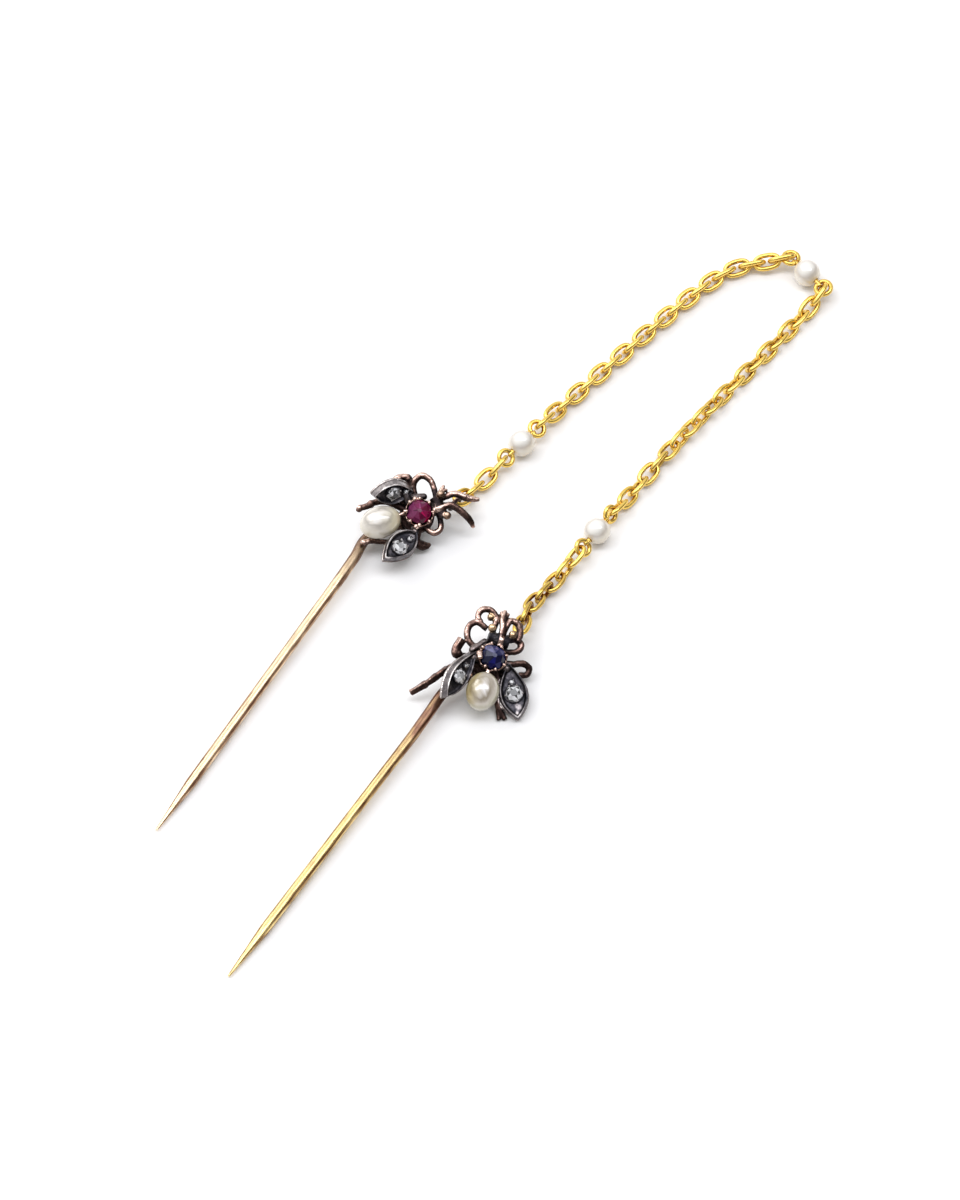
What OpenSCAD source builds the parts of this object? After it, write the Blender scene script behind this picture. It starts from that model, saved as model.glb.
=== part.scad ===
// Double stick pin: two jewelled flies on long gold stems, joined by a cable chain with three pearls.
// Millimetres. X runs along the stems, from their points to the far bend of the chain, and Z is up.
// The pin lies on the plane Z = 0, as it would on a table, with its origin under its middle.

/* [Stems] */
// Diameter of each pin's stem
stem_d = 1.08; // [0.9:0.02:1.2]
// Length of the taper at each stem's point
taper_len = 8; // [5:0.5:12]
// Diameter left at the very point of each stem
point_d = 0.24; // [0.16:0.02:0.4]

/* [Chain] */
// Thickness of the wire of each link
link_wire = 0.43; // [0.38:0.01:0.44]
// Outer length of each link
link_len = 2.97; // [2.94:0.01:3]
// Outer width of each link
link_w = 1.8; // [1.76:0.01:1.86]
// Diameter of each pearl on the chain
chain_pearl_d = 2.9; // [2.6:0.05:3]
// Outer diameter of the wire loops beside each chain pearl
eye_d = 2; // [1.98:0.02:2.1]
// Thickness of the wire through each chain pearl
eye_wire_d = 0.4; // [0.34:0.01:0.44]

/* [Flies] */
// Diameter of the ruby and of the sapphire
gem_d = 2.5; // [2.3:0.05:2.56]
// Usual length of a body pearl along the fly
body_pearl_len = 4.4; // [4.1:0.05:4.5]
// Usual width of a body pearl across the fly
body_pearl_w = 3.55; // [3.3:0.05:3.65]
// Depth of the silver of each wing
wing_depth = 0.8; // [0.6:0.05:0.85]
// Width of the raised rim round each wing
wing_rim = 0.2; // [0.16:0.01:0.24]
// Usual diameter of the large diamond in a wing
wing_stone_d = 1.6; // [1.4:0.05:1.65]

/* [Hidden] */

// Where the tables below have their origin, from the middle of the finished pin
middle = [0.333, 1.944, 0.003];

fit_gap = 0.05;
round_fn = 48;
up = [0, 0, 1];

// Sides round a leg's wire and segments along it, and how much thicker it is than its table says
leg_sides = 8;
leg_steps = 10;
leg_swell = 1.2;
// Sides round a link's wire and segments along it
link_sides = 6;
link_steps = 12;

// Where each fly sits, and how it is rolled, pitched and headed
ruby_at = [3.8, 10.3, 3.15];
ruby_turn = [20, -4, -34];
sapphire_at = [-7.35, -6.45, 3.15];
sapphire_turn = [18, -13, 19];

// Bent start of each stem, from under the fly, and the two ends of its straight run
// Columns: x, y, z
ruby_stem_bend = [[3.8, 11.1, 1.3], [1.5, 12.8, 1.15], [-0.9, 13.9, 1.12], [-3.6, 13.5, 1.3], [-6.6, 13.25, 1.33]];
ruby_stem_run = [[-6.6, 13.25, 1.33], [-43.5, 11.53, 0.34]];
sapphire_stem_bend = [[-8.1, -5.9, 1.3], [-10.5, -4.6, 1.35], [-12.8, -4.0, 1.4], [-15.9, -4.2, 1.4], [-19.2, -4.4, 1.36]];
sapphire_stem_run = [[-19.2, -4.4, 1.36], [-54.6, -5.17, 0.33]];

// Legs and feelers in each fly's own frame, along their middle line
// Columns: forward, left, up, radius
ruby_legs = [
    // left front leg, arched up to the head
    [[0.3, 1.0, -0.6, 0.2], [0.5, 2.5, -0.6, 0.22], [0.85, 3.45, -0.4, 0.24], [1.8, 3.8, -0.2, 0.25],
        [2.5, 3.0, -0.2, 0.24], [2.5, 1.85, -0.2, 0.22], [2.3, 0.9, 0, 0.2]],
    // right front leg, a closed loop below the head
    [[0.6, -0.7, -0.5, 0.2], [0.05, -1.35, -0.45, 0.2], [0.3, -1.95, -0.4, 0.21], [0.8, -2.45, -0.4, 0.22],
        [1.55, -2.25, -0.4, 0.21], [1.9, -1.3, -0.35, 0.2], [2.0, -0.5, -0.2, 0.2]],
    // left middle leg, curled against the wing
    [[0.3, 1.0, -0.8, 0.26], [0.45, 3.2, -0.95, 0.28], [0.5, 4.17, -0.75, 0.28], [-0.25, 4.55, -0.7, 0.26],
        [-1.0, 4.5, -0.8, 0.24]],
    // left hind leg, with its foot past the body pearl
    [[-0.9, 0.8, -0.8, 0.26], [-2.4, 2.5, -0.85, 0.26], [-3.75, 2.95, -0.7, 0.24], [-4.8, 2.85, -0.6, 0.24],
        [-5.6, 2.95, -0.6, 0.2]],
    // right hind leg, lying over the stem
    [[-0.7, -0.8, -0.8, 0.26], [-2.4, -1.9, -0.95, 0.24], [-3.95, -1.6, -0.8, 0.2], [-5.7, -0.85, -0.6, 0.2],
        [-6.6, -0.75, -0.4, 0.24]],
    // right middle leg, short and folded
    [[-0.3, -1.0, -0.8, 0.26], [-1.2, -2.4, -1.0, 0.3], [-0.9, -3.1, -1.25, 0.32], [-0.15, -3.3, -1.3, 0.22]]
];
ruby_feelers = [
    [[2.4, 0.6, 0.1, 0.2], [3.3, 0.65, 0.25, 0.24], [4.1, 0.6, 0.4, 0.25], [4.75, 0.2, 0.4, 0.26],
        [5.45, -0.4, 0.2, 0.27], [6.5, -0.85, 0, 0.2]],
    [[1.5, -0.2, 0.3, 0.2], [2.3, -0.35, 0.5, 0.24], [3.35, -0.45, 0.5, 0.27], [4.0, -1.1, 0.3, 0.27],
        [4.55, -2.05, 0, 0.25], [4.85, -2.75, -0.4, 0.22], [4.9, -3.3, -0.8, 0.13]],
    // small twig with two points beside the left eye
    [[2.6, 0.9, 0.6, 0.14], [2.9, 1.25, 0.7, 0.14], [3.2, 1.5, 0.65, 0.14], [3.5, 1.8, 0.6, 0.1]],
    [[2.8, 1.2, 0.65, 0.14], [3.2, 1.25, 0.65, 0.14], [3.65, 1.15, 0.6, 0.12]]
];
sapphire_legs = [
    // left front leg, a wide hook
    [[1.2, 0.6, -0.4, 0.24], [0.85, 1.9, -0.35, 0.24], [1.0, 2.6, -0.3, 0.24], [1.7, 3.15, -0.3, 0.25],
        [2.7, 3.2, -0.2, 0.25], [3.4, 2.5, -0.15, 0.24], [3.0, 1.3, -0.1, 0.22]],
    // right front leg, a small closed loop
    [[2.4, -1.0, -0.3, 0.22], [2.95, -1.9, -0.35, 0.24], [2.75, -2.6, -0.4, 0.26], [2.1, -2.65, -0.4, 0.24],
        [1.6, -2.1, -0.4, 0.22], [1.2, -1.0, -0.4, 0.22]],
    // left middle leg, a thick stub
    [[0.1, 0.9, -0.7, 0.26], [-0.5, 2.8, -0.8, 0.28], [-0.6, 3.7, -0.65, 0.3], [0.1, 3.85, -0.55, 0.32],
        [0.8, 3.65, -0.5, 0.28]],
    // left hind leg, reaching out past the stem
    [[-0.8, 0.9, -0.8, 0.26], [-1.75, 3.4, -0.9, 0.28], [-3.2, 4.8, -1.2, 0.3], [-4.35, 5.7, -1.9, 0.3],
        [-5.5, 6.9, -2.9, 0.25]],
    // right middle leg, a flat loop
    [[0.1, -1.0, -0.7, 0.26], [0.3, -2.3, -0.6, 0.26], [0.8, -3.4, -0.6, 0.25], [0.6, -4.2, -0.75, 0.25],
        [-0.1, -4.2, -0.95, 0.24], [-0.4, -3.4, -1.1, 0.22]],
    // right hind leg, down to the table
    [[-0.6, -0.9, -0.8, 0.26], [-2.4, -1.6, -0.9, 0.26], [-3.8, -1.95, -0.8, 0.26], [-4.7, -2.3, -0.9, 0.27],
        [-5.75, -3.25, -0.74, 0.15]]
];
sapphire_feelers = [
    // left feeler, curled into a hoop
    [[2.6, 0.7, 0, 0.22], [3.5, 0.65, 0.05, 0.24], [4.5, 0.7, 0, 0.25], [5.1, 1.5, 0, 0.25],
        [4.8, 2.4, 0, 0.25], [3.95, 2.6, -0.05, 0.23], [3.5, 2.1, -0.1, 0.2]],
    // right feeler, curled the other way
    [[2.6, -0.5, 0.1, 0.22], [3.6, -0.5, 0.2, 0.24], [4.6, -0.85, 0.2, 0.25], [4.5, -1.7, 0.1, 0.25],
        [3.7, -2.2, 0, 0.25], [2.75, -2.15, -0.1, 0.22]],
    // mouth, a strip that ends in a fork of three
    [[1.7, -0.3, 0.3, 0.2], [3.2, -0.15, 0.65, 0.22], [4.2, 0.05, 0.5, 0.24], [4.7, 0.05, 0.35, 0.22],
        [5.5, 0, 0.25, 0.14]],
    [[4.5, 0.05, 0.35, 0.16], [4.9, 0.25, 0.3, 0.15], [5.25, 0.4, 0.25, 0.12]],
    [[4.5, 0, 0.35, 0.16], [4.9, -0.25, 0.3, 0.15], [5.3, -0.45, 0.25, 0.12]],
    // second toe of the right hind leg
    [[-4.6, -2.2, -0.9, 0.2], [-5.3, -2.4, -0.9, 0.18], [-6.0, -2.6, -0.85, 0.14]]
];
// Small ball inside the left feeler's hoop: middle, and the place on the hoop that it is soldered to
sapphire_ball = [[4.4, 1.25, -0.1], [4.5, 0.7, 0]];

// Wings in each fly's own frame
// Columns: root, tip, width, angle by which the outer edge is raised, place of the widest part from root to
// tip, place of the large diamond along and across the wing and its size, place of the small one likewise,
// share of the usual depth, place across the wing where its arm is soldered
ruby_wings = [
    [[0.2, 2.25, 0.6], [-3.95, 2.95, 1.6], 2.45, 48, 0.5, [0.49, 0, 0.93], [0.17, 0, 1], 1, 1],
    [[-1.05, -1.85, 0.45], [-5.35, -3.55, 1.8], 2.65, -3, 0.44, [0.54, 0.1, 1.02], [0.22, 0.1, 1], 0.9, 0]
];
sapphire_wings = [
    [[-0.1, 1.85, 0.6], [-6.1, 3.6, 1.15], 2.2, 28, 0.54, [0.54, 0, 0.93], [0.3, 0, 1], 1, 0.6],
    [[-0.1, -1.8, 0.45], [-5.5, -4.3, 0.45], 2.9, 12, 0.55, [0.55, 0, 1.13], [0.34, 0, 1], 0.7, 0]
];

// Body pearls in each fly's own frame: middle, and size along and across as shares of the usual size
ruby_pearl = [[-4.25, 0.5, 0.4], 1.02, 0.97];
sapphire_pearl = [[-3.95, 0.05, 0.3], 0.97, 1];

// Ball eyes in each fly's own frame
ruby_eyes = [[2.8, 0.95, 0.7], [2.6, -1.35, 0.45]];
sapphire_eyes = [[3.0, 0.95, 0.7], [3.1, -1.4, 0.45]];

// Ring on each fly that holds the chain: middle, direction of the chain and roll
ruby_ring = [[7.7, 8.35, 2.0], -8, -75];
sapphire_ring = [[-2.4, -6.6, 2.1], 20, 90];

// Pearls on the chain: x, y, direction of the wire through them, reach of its loops, roll of each loop
chain_pearls = [
    [18.35, 7.1, -7, 2.5, 35, 25],
    [53.6, -5.65, -105, 2.6, -5, 10],
    [13.4, -5.8, 180, 2.6, -60, -40]
];

// Middle lines of the four lengths of chain, between ring and loop or loop and loop
// Columns: x, y, height above the links that lie flat on the table
chain_a = [[7.7, 8.35, 1.45], [9.2, 8.2, 0.65], [11, 8.05, 0.1], [12.9, 7.8, 0.05], [14.4, 7.6, 0.25], [15.87, 7.4, 0.95]];
chain_b = [[20.83, 6.8, 0.75], [22.4, 6.7, 0.4], [25, 6.4, 0], [30.6, 5.5, 0], [37.6, 4.35, 0], [44.4, 3.1, 0],
    [48.4, 2.0, 0], [50.6, 0.85, 0], [52.4, -1.05, 0.25], [54.27, -3.14, 0.75]];
chain_c = [[52.93, -8.16, 0.8], [51.5, -8.2, 0.3], [49.3, -8.1, 0], [43.7, -7.65, 0], [36.3, -6.9, 0],
    [29, -6.3, 0], [23.5, -6.05, 0], [19.7, -5.9, 0], [17.5, -5.85, 0.3], [16, -5.8, 0.75]];
chain_d = [[10.8, -5.8, 0.8], [9.3, -5.7, 0.4], [7, -5.6, 0], [4.4, -5.5, 0], [2, -5.4, 0.35],
    [0.2, -5.7, 0.5], [-1.2, -6.15, 0.75], [-2.4, -6.6, 1.05]];

// Twist of the chain about its own line, as link number and degrees
twist_none = [[0, 0], [99, 0]];
twist_c = [[0, 15], [1, 15], [3, 0], [9, 0], [12, -25], [14, -25], [18, -85], [99, -85]];
twist_d = [[0, 0], [1, 0], [3, -20], [99, -20]];

// The lengths of chain: middle line, number of links, roll of the first link, twist, distances from the first
// and the last loop to the middle of the link that hangs in it, and how far slack shifts the middle links along
CHAIN = [
    [chain_a, 4, 25, twist_none, 1.5, 1.43, 0],
    [chain_b, 21, -65, twist_none, 1.4, 1, 0.4],
    [chain_c, 20, 45, twist_c, 1, 1.35, -0.2],
    [chain_d, 7, 25, twist_d, 1.4, 1.4, 0.15]
];
// Points that each middle line is smoothed to
chain_steps = 60;

// Curves

function unit(v) = v / norm(v);

function xyz(p) = [p[0], p[1], p[2]];

// Smooth curve through the points p, at u from 0 to the last point's number
function spline_at(p, u) = let (
    i = min(floor(u), len(p) - 2),
    f = u - i,
    a = p[max(i - 1, 0)],
    b = p[i],
    c = p[i + 1],
    d = p[min(i + 2, len(p) - 1)]
) 0.5 * (2 * b + (c - a) * f + (2 * a - 5 * b + 4 * c - d) * f ^ 2 + (3 * b - a - 3 * c + d) * f ^ 3);

function smooth(p, steps) = [for (i = [0 : steps]) spline_at(p, i * (len(p) - 1) / steps)];

function along(p, i) = unit(xyz(p[min(i + 1, len(p) - 1)]) - xyz(p[max(i - 1, 0)]));

function square_to(v, t) = unit(v - (v * t) * t);

// Side direction at each point of a curve, carried along it without twisting
function sides_of(p, i = 0, last = [0.12, 0.31, 1]) = i == len(p) ? []
    : let (side = square_to(last, along(p, i))) concat([side], sides_of(p, i + 1, side));

// Closed rings of points joined into one solid, capped at both ends
module loft(rings) {
    n = len(rings[0]);
    m = len(rings);
    polyhedron(
        points = [for (r = rings) each r],
        faces = concat(
            [[for (k = [0 : n - 1]) k]],
            [for (i = [0 : m - 2], k = [0 : n - 1])
                [i * n + (k + 1) % n, i * n + k, (i + 1) * n + k, (i + 1) * n + (k + 1) % n]],
            [[for (k = [n - 1 : -1 : 0]) (m - 1) * n + k]]
        )
    );
}

// Round wire along points of x, y, z, radius
module wire(path, sides, steps) {
    p = smooth(path, steps);
    s = sides_of(p);
    loft([for (i = [0 : steps]) let (t = along(p, i), b = cross(t, s[i]))
        [for (k = [0 : sides - 1]) xyz(p[i]) + p[i][3] * (cos(360 * k / sides) * s[i] + sin(360 * k / sides) * b)]]);
}

// Turns +Z to the direction v
module aim(v) {
    rotate([0, acos(v[2] / norm(v)), atan2(v[1], v[0])]) children();
}

// Straight round bar between two points
module bar(a, b, r) {
    translate(a) aim(b - a) cylinder(r = r, h = norm(b - a), $fn = round_fn);
}

module ruby_place() {
    translate(ruby_at) rotate(ruby_turn) children();
}

module sapphire_place() {
    translate(sapphire_at) rotate(sapphire_turn) children();
}

// Stems

stem_r = stem_d / 2;
// Radius of the bent start, of its end where the straight run begins, and of what is hidden in that run
bend_r = 1.03 * stem_r;
bend_end_r = 0.96 * stem_r;
bend_tail_r = 0.85 * stem_r;
bend_tail_len = 1.5;
bend_sides = 16;
bend_steps = 22;
collar_r = 0.86;
collar_len = 1.9;
// Floor of the collar below the start of the stem, room round the stem, and length of the cut that makes it
collar_floor = 0.5;
collar_room = 0.12;
collar_cut = 6;

// The bent start is a shade thicker than the straight run, and its end is inside that run
module stem(bend, run) {
    v = unit(run[1] - run[0]);
    total = norm(run[1] - run[0]);
    last = len(bend) - 1;
    path = concat(
        [for (i = [0 : last]) concat(bend[i], [i < last ? bend_r : bend_end_r])],
        [concat(run[0] + bend_tail_len * v, [bend_tail_r])]
    );
    union() {
        wire(path, bend_sides, bend_steps);
        translate(run[0]) aim(v) rotate_extrude($fn = round_fn) polygon([
            [0, 0], [stem_r, 0], [stem_r, total - taper_len], [point_d / 2, total], [0, total]
        ]);
    }
}

// Collar under the thorax that the start of the stem sits in
module collar(bend) {
    v = unit(bend[1] - bend[0]);
    translate(bend[0] - collar_floor * v) aim(v) cylinder(r = collar_r, h = collar_len, $fn = round_fn);
}

module collar_bore(bend) {
    v = unit(bend[1] - bend[0]);
    translate(bend[0] - fit_gap * v) aim(v) cylinder(r = bend_r + collar_room, h = collar_cut, $fn = round_fn);
}

// Flies

gem_r = gem_d / 2;
gem_z = 0.42;
gem_room = 0.09;
// Crown height and depth of the ruby and the sapphire, and of the large and small diamonds
gem_cut = [0.75, 0.6];
big_cut = [0.42, 0.08];
small_cut = [0.22, 0.08];
small_stone_r = 0.26;
// Height of the diamonds' girdles against the rim of their wing
stone_z = -0.2;

// Collet: outer radius and height of its foot, radius and height of its lip, heights of the seat's wall and
// floor, radius of that floor
collet_foot = [1.25, -1.05];
collet_r = 1.68;
collet_top = 0.55;
collet_seat = [0.3, -0.3];
collet_well = 0.85;
// Bars between two points in the fly's own frame, with their radius
claw = [[1.62, 0, -0.1], [1.5, 0, 0.95], 0.17];
neck = [[1.25, -0.2, -0.4], [2.3, -0.2, -0.1], 0.5];
thorax = [[-0.15, 0, -1.1], [-0.15, 0, -0.6], 1.85];
head = [[2.2, -1.3, 0.05], [2.2, 1.0, 0.05], 0.66];
claw_count = 8;
eye_r = 0.38;
ball_r = 0.36;
ball_neck_r = 0.2;

// Peg that the body pearl sits on: where it starts, and how far it stops short of the pearl's middle
peg_r = 0.3;
peg_z = 0.3;
peg_start = -1.5;
peg_short = 0.5;
pearl_depth = 3.3;

// Arms that carry the wings: start on the left side, radius, place along the wing, and how far they stand proud
// of its back
arm_start = [-0.5, 0.9, -1.05];
arm_r = 0.26;
arm_place = 0.3;
arm_proud = 0.12;
back_thick = 0.42;

// Bars from each thorax to its collar, and the arms of the rings for the chain
collar_bar_r = 0.7;
ruby_collar_bar = [3.75, 10.6, 2.4];
sapphire_collar_bar = [-7.5, -6.3, 2.4];
ring_arm_r = 0.24;
ruby_ring_root = [6.0, 9.4, 3.2];
sapphire_ring_root = [-4.9, -5.8, 3.4];

function wing_len(wing) = norm(wing[1] - wing[0]);

// Wing outline as a ring of points, pointed at the tip
leaf_points = 20;
function leaf_half(t, widest) = pow(max(sin(180 * pow(t, ln(0.5) / ln(widest))), 0), 0.8);
function leaf(wing, z, grow) = let (
    length = wing_len(wing),
    l = length / 2 + grow,
    w = wing[2] / 2 + grow
) [for (i = [0 : leaf_points - 1]) let (
    a = 360 * i / leaf_points,
    t = (1 - cos(a)) / 2,
    h = i == 0 || i == leaf_points / 2 ? 0 : leaf_half(t, wing[4])
) [length / 2 - l + 2 * l * t, (a < 180 ? -1 : 1) * w * h, z]];

// A wing's own axes in the fly's frame: X from root to tip, Z out of its face
function wing_axes(wing, side) = let (
    x = unit(wing[1] - wing[0]),
    level = unit(cross(up, x)),
    square = cross(x, level),
    lift = -side * wing[3]
) [x, cos(lift) * level + sin(lift) * square, cos(lift) * square - sin(lift) * level];

function wing_point(wing, side, p) = wing[0] + p * wing_axes(wing, side);

module wing_place(wing, side) {
    m = wing_axes(wing, side);
    o = wing[0];
    multmatrix([for (k = [0 : 2]) [m[0][k], m[1][k], m[2][k], o[k]]]) children();
}

function depth_of(wing) = wing[7] * wing_depth;

// Silver leaf with a raised rim and a sunk floor
module wing_cup(wing) {
    loft([
        leaf(wing, -depth_of(wing), 0.1),
        leaf(wing, -0.1, 0.02),
        leaf(wing, 0, -0.04),
        leaf(wing, 0, -wing_rim),
        leaf(wing, -0.32, -wing_rim - 0.12)
    ]);
}

// Gold plate that backs the silver of a wing
module wing_back(wing) {
    depth = depth_of(wing);
    thick = wing[7] * back_thick;
    loft([
        leaf(wing, -depth - thick, 0.1),
        leaf(wing, -depth - 0.7 * thick, 0.2),
        leaf(wing, -depth - fit_gap, 0.12)
    ]);
}

// Cut stone: table of 8 sides, star and main facets above a girdle of 16, and facets below it
module cut_stone(r, crown, depth) {
    table = [for (j = [0 : 7]) [0.42 * r * cos(45 * j), 0.42 * r * sin(45 * j), crown]];
    main = [for (j = [0 : 7]) [0.8 * r * cos(45 * j + 22.5), 0.8 * r * sin(45 * j + 22.5), 0.62 * crown]];
    girdle_h = 0.1 * r;
    girdle = [for (k = [0 : 15]) [r * cos(22.5 * k), r * sin(22.5 * k), girdle_h]];
    lower = [for (k = [0 : 15]) [r * cos(22.5 * k), r * sin(22.5 * k), 0]];
    foot = [for (j = [0 : 7]) [0.5 * r * cos(45 * j), 0.5 * r * sin(45 * j), -depth]];
    m = 8;
    g = 16;
    w = 32;
    f = 48;
    polyhedron(
        points = concat(table, main, girdle, lower, foot),
        faces = concat(
            [[7, 6, 5, 4, 3, 2, 1, 0], [for (j = [0 : 7]) f + j]],
            [for (j = [0 : 7]) let (j1 = (j + 1) % 8) each [
                [j, j1, m + j],
                [m + j, j1, m + j1],
                [m + j, g + 2 * j + 1, g + 2 * j],
                [m + j, g + (2 * j + 2) % 16, g + 2 * j + 1],
                [g + (2 * j + 2) % 16, m + j, m + j1],
                [f + j, w + 2 * j, w + 2 * j + 1],
                [f + j, w + (2 * j + 15) % 16, w + 2 * j],
                [f + j, w + 2 * j + 1, f + j1]
            ]],
            [for (k = [0 : 15]) [g + k, g + (k + 1) % 16, w + (k + 1) % 16, w + k]]
        )
    );
}

module gem() {
    translate([0, 0, gem_z]) cut_stone(gem_r, gem_cut[0], gem_cut[1]);
}

// Large diamond past the middle of the wing and a small one near its root
module wing_diamonds(wing) {
    big = wing[5];
    small = wing[6];
    l = wing_len(wing);
    translate([big[0] * l, big[1], stone_z]) cut_stone(big[2] * wing_stone_d / 2, big_cut[0], big_cut[1]);
    translate([small[0] * l, small[1], stone_z]) cut_stone(small[2] * small_stone_r, small_cut[0], small_cut[1]);
}

// Oval pearl with a blind hole for the peg, a little deeper than the peg is long
module body_pearl(pearl) {
    at = pearl[0];
    hole_end = at[0] + peg_short - 3 * fit_gap;
    difference() {
        translate(at)
            scale([pearl[1] * body_pearl_len, pearl[2] * body_pearl_w, pearl_depth] / 2)
                sphere(r = 1, $fn = round_fn);
        bar([0, at[1], peg_z], [hole_end, at[1], peg_z], peg_r + fit_gap);
    }
}

// Cup with claws that holds the coloured stone
module collet() {
    rotate_extrude($fn = round_fn) polygon([
        [0, collet_foot[1]], collet_foot, [collet_r, collet_top], [gem_r + gem_room, collet_top],
        [gem_r + gem_room - 0.02, collet_seat[0]], [collet_well, collet_seat[1]], [0, collet_seat[1]]
    ]);
    for (i = [0 : claw_count - 1]) {
        rotate([0, 0, 360 * (i + 0.5) / claw_count]) bar(claw[0], claw[1], claw[2]);
    }
}

// Thorax, head, eyes, legs, feelers and wing backs, in the fly's own frame
module insect(wings, pearl, eyes, legs, feelers) {
    collet();
    bar(thorax[0], thorax[1], thorax[2]);
    bar(neck[0], neck[1], neck[2]);
    bar(head[0], head[1], head[2]);
    for (eye = eyes) {
        translate(eye) rotate([0, 90, 0]) sphere(r = eye_r, $fn = round_fn);
    }
    bar([peg_start, pearl[0][1], peg_z], [pearl[0][0] + peg_short, pearl[0][1], peg_z], peg_r);
    for (leg = concat(legs, feelers)) {
        wire([for (p = leg) concat(xyz(p), [leg_swell * p[3]])], leg_sides, leg_steps);
    }
    for (i = [0, 1]) {
        side = 1 - 2 * i;
        wing = wings[i];
        foot = -depth_of(wing) - wing[7] * back_thick - arm_proud;
        seat = [arm_place * wing_len(wing), wing[8] * side, foot];
        wing_place(wing, side) wing_back(wing);
        bar([arm_start[0], arm_start[1] * side, arm_start[2]], wing_point(wing, side, seat), arm_r);
    }
}

ring_r = (eye_d - eye_wire_d) / 2;

// Fixed ring that the end of the chain hangs in, on a short arm from the fly's underside
module chain_ring(ring, root) {
    translate(ring[0]) rotate([0, 0, ring[1]]) rotate([ring[2], 0, 0])
        rotate_extrude($fn = round_fn) translate([ring_r, 0]) circle(d = eye_wire_d, $fn = 24);
    normal = [sin(ring[2]) * sin(ring[1]), -sin(ring[2]) * cos(ring[1]), cos(ring[2])];
    bar(root, ring[0] + square_to(root - ring[0], normal) * ring_r, ring_arm_r);
}

module ruby_fly_frame() {
    color("#8a5a45") difference() {
        union() {
            ruby_place() insect(ruby_wings, ruby_pearl, ruby_eyes, ruby_legs, ruby_feelers);
            collar(ruby_stem_bend);
            bar(ruby_collar_bar, ruby_stem_bend[0], collar_bar_r);
            chain_ring(ruby_ring, ruby_ring_root);
        }
        collar_bore(ruby_stem_bend);
    }
}

module sapphire_fly_frame() {
    color("#8a5a45") difference() {
        union() {
            sapphire_place()
                insect(sapphire_wings, sapphire_pearl, sapphire_eyes, sapphire_legs, sapphire_feelers);
            collar(sapphire_stem_bend);
            sapphire_place() {
                translate(sapphire_ball[0]) sphere(r = ball_r, $fn = round_fn);
                bar(sapphire_ball[0], sapphire_ball[1], ball_neck_r);
            }
            bar(sapphire_collar_bar, sapphire_stem_bend[0], collar_bar_r);
            chain_ring(sapphire_ring, sapphire_ring_root);
        }
        collar_bore(sapphire_stem_bend);
    }
}

module ruby_fly_stem() {
    color("#d8b890") stem(ruby_stem_bend, ruby_stem_run);
}

module sapphire_fly_stem() {
    color("#d0b060") stem(sapphire_stem_bend, sapphire_stem_run);
}

module ruby() {
    color("#8a1a50") ruby_place() gem();
}

module sapphire() {
    color("#202a60") sapphire_place() gem();
}

module ruby_fly_body_pearl() {
    color("#f0ead8") ruby_place() body_pearl(ruby_pearl);
}

module sapphire_fly_body_pearl() {
    color("#e8e0c8") sapphire_place() body_pearl(sapphire_pearl);
}

module ruby_fly_wing(i) {
    color("#50505a") ruby_place() wing_place(ruby_wings[i], 1 - 2 * i) wing_cup(ruby_wings[i]);
}

module sapphire_fly_wing(i) {
    color("#50505a") sapphire_place() wing_place(sapphire_wings[i], 1 - 2 * i) wing_cup(sapphire_wings[i]);
}

module ruby_fly_diamonds(i) {
    color("#d8dce0") ruby_place() wing_place(ruby_wings[i], 1 - 2 * i) wing_diamonds(ruby_wings[i]);
}

module sapphire_fly_diamonds(i) {
    color("#d8dce0") sapphire_place() wing_place(sapphire_wings[i], 1 - 2 * i) wing_diamonds(sapphire_wings[i]);
}

// Chain

half_len = (link_len - link_wire) / 2;
half_w = (link_w - link_wire) / 2;
// How square the ends of a link are: 2 is an ellipse
link_shape = 2.5;
function bulge(v) = sign(v) * pow(abs(v), 2 / link_shape);

// Height of a link's middle when links rolled by this angle and the next lie on the table
function lying(roll) = link_wire / 2 + 0.02 + half_w * max(abs(sin(roll)), abs(cos(roll)));

// Distance run at each point of a curve
function runs(p, i = 0, total = 0) = i == len(p) ? []
    : let (s = total + (i == 0 ? 0 : norm(p[i] - p[i - 1]))) concat([s], runs(p, i + 1, s));

// Middles of the links on one length of chain, with the middles of the loops at both ends
function link_middles(length) = let (
    p = smooth(length[0], chain_steps),
    s = runs(p),
    total = s[len(s) - 1],
    n = length[1],
    linked = total - length[4] - length[5],
    at = concat([0], [for (i = [0 : n - 1]) let (t = i / (n - 1))
        length[4] + t * linked + 4 * length[6] * t * (1 - t)], [total])
) [for (i = [0 : n + 1]) [
    lookup(at[i], [for (k = [0 : chain_steps]) [s[k], p[k][0]]]),
    lookup(at[i], [for (k = [0 : chain_steps]) [s[k], p[k][1]]]),
    lookup(at[i], [for (k = [0 : chain_steps]) [s[k], p[k][2]]]) + lying(length[2] + lookup(i, length[3]))
]];

// Points of one link about its middle m, lying along t with its face turned by roll
function link_points(m, t, roll) = let (
    right = unit(cross(t, up)),
    face = cos(roll) * unit(cross(right, t)) + sin(roll) * right,
    across = cross(face, t)
) [for (i = [0 : link_steps - 1], k = [0 : link_sides - 1]) let (
    a = 360 * i / link_steps,
    x = half_len * bulge(cos(a)),
    y = half_w * bulge(sin(a)),
    out = unit([x / half_len ^ 2, y / half_w ^ 2]),
    b = 360 * k / link_sides,
    r = link_wire / 2
) m + (x + r * cos(b) * out[0]) * t + (y + r * cos(b) * out[1]) * across + r * sin(b) * face];

// Faces of link number n in a list of links
function link_faces(n) = let (first = n * link_steps * link_sides)
    [for (i = [0 : link_steps - 1], k = [0 : link_sides - 1]) let (
        i1 = (i + 1) % link_steps,
        k1 = (k + 1) % link_sides
    ) [first + i * link_sides + k1, first + i1 * link_sides + k1,
        first + i1 * link_sides + k, first + i * link_sides + k]];

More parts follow.
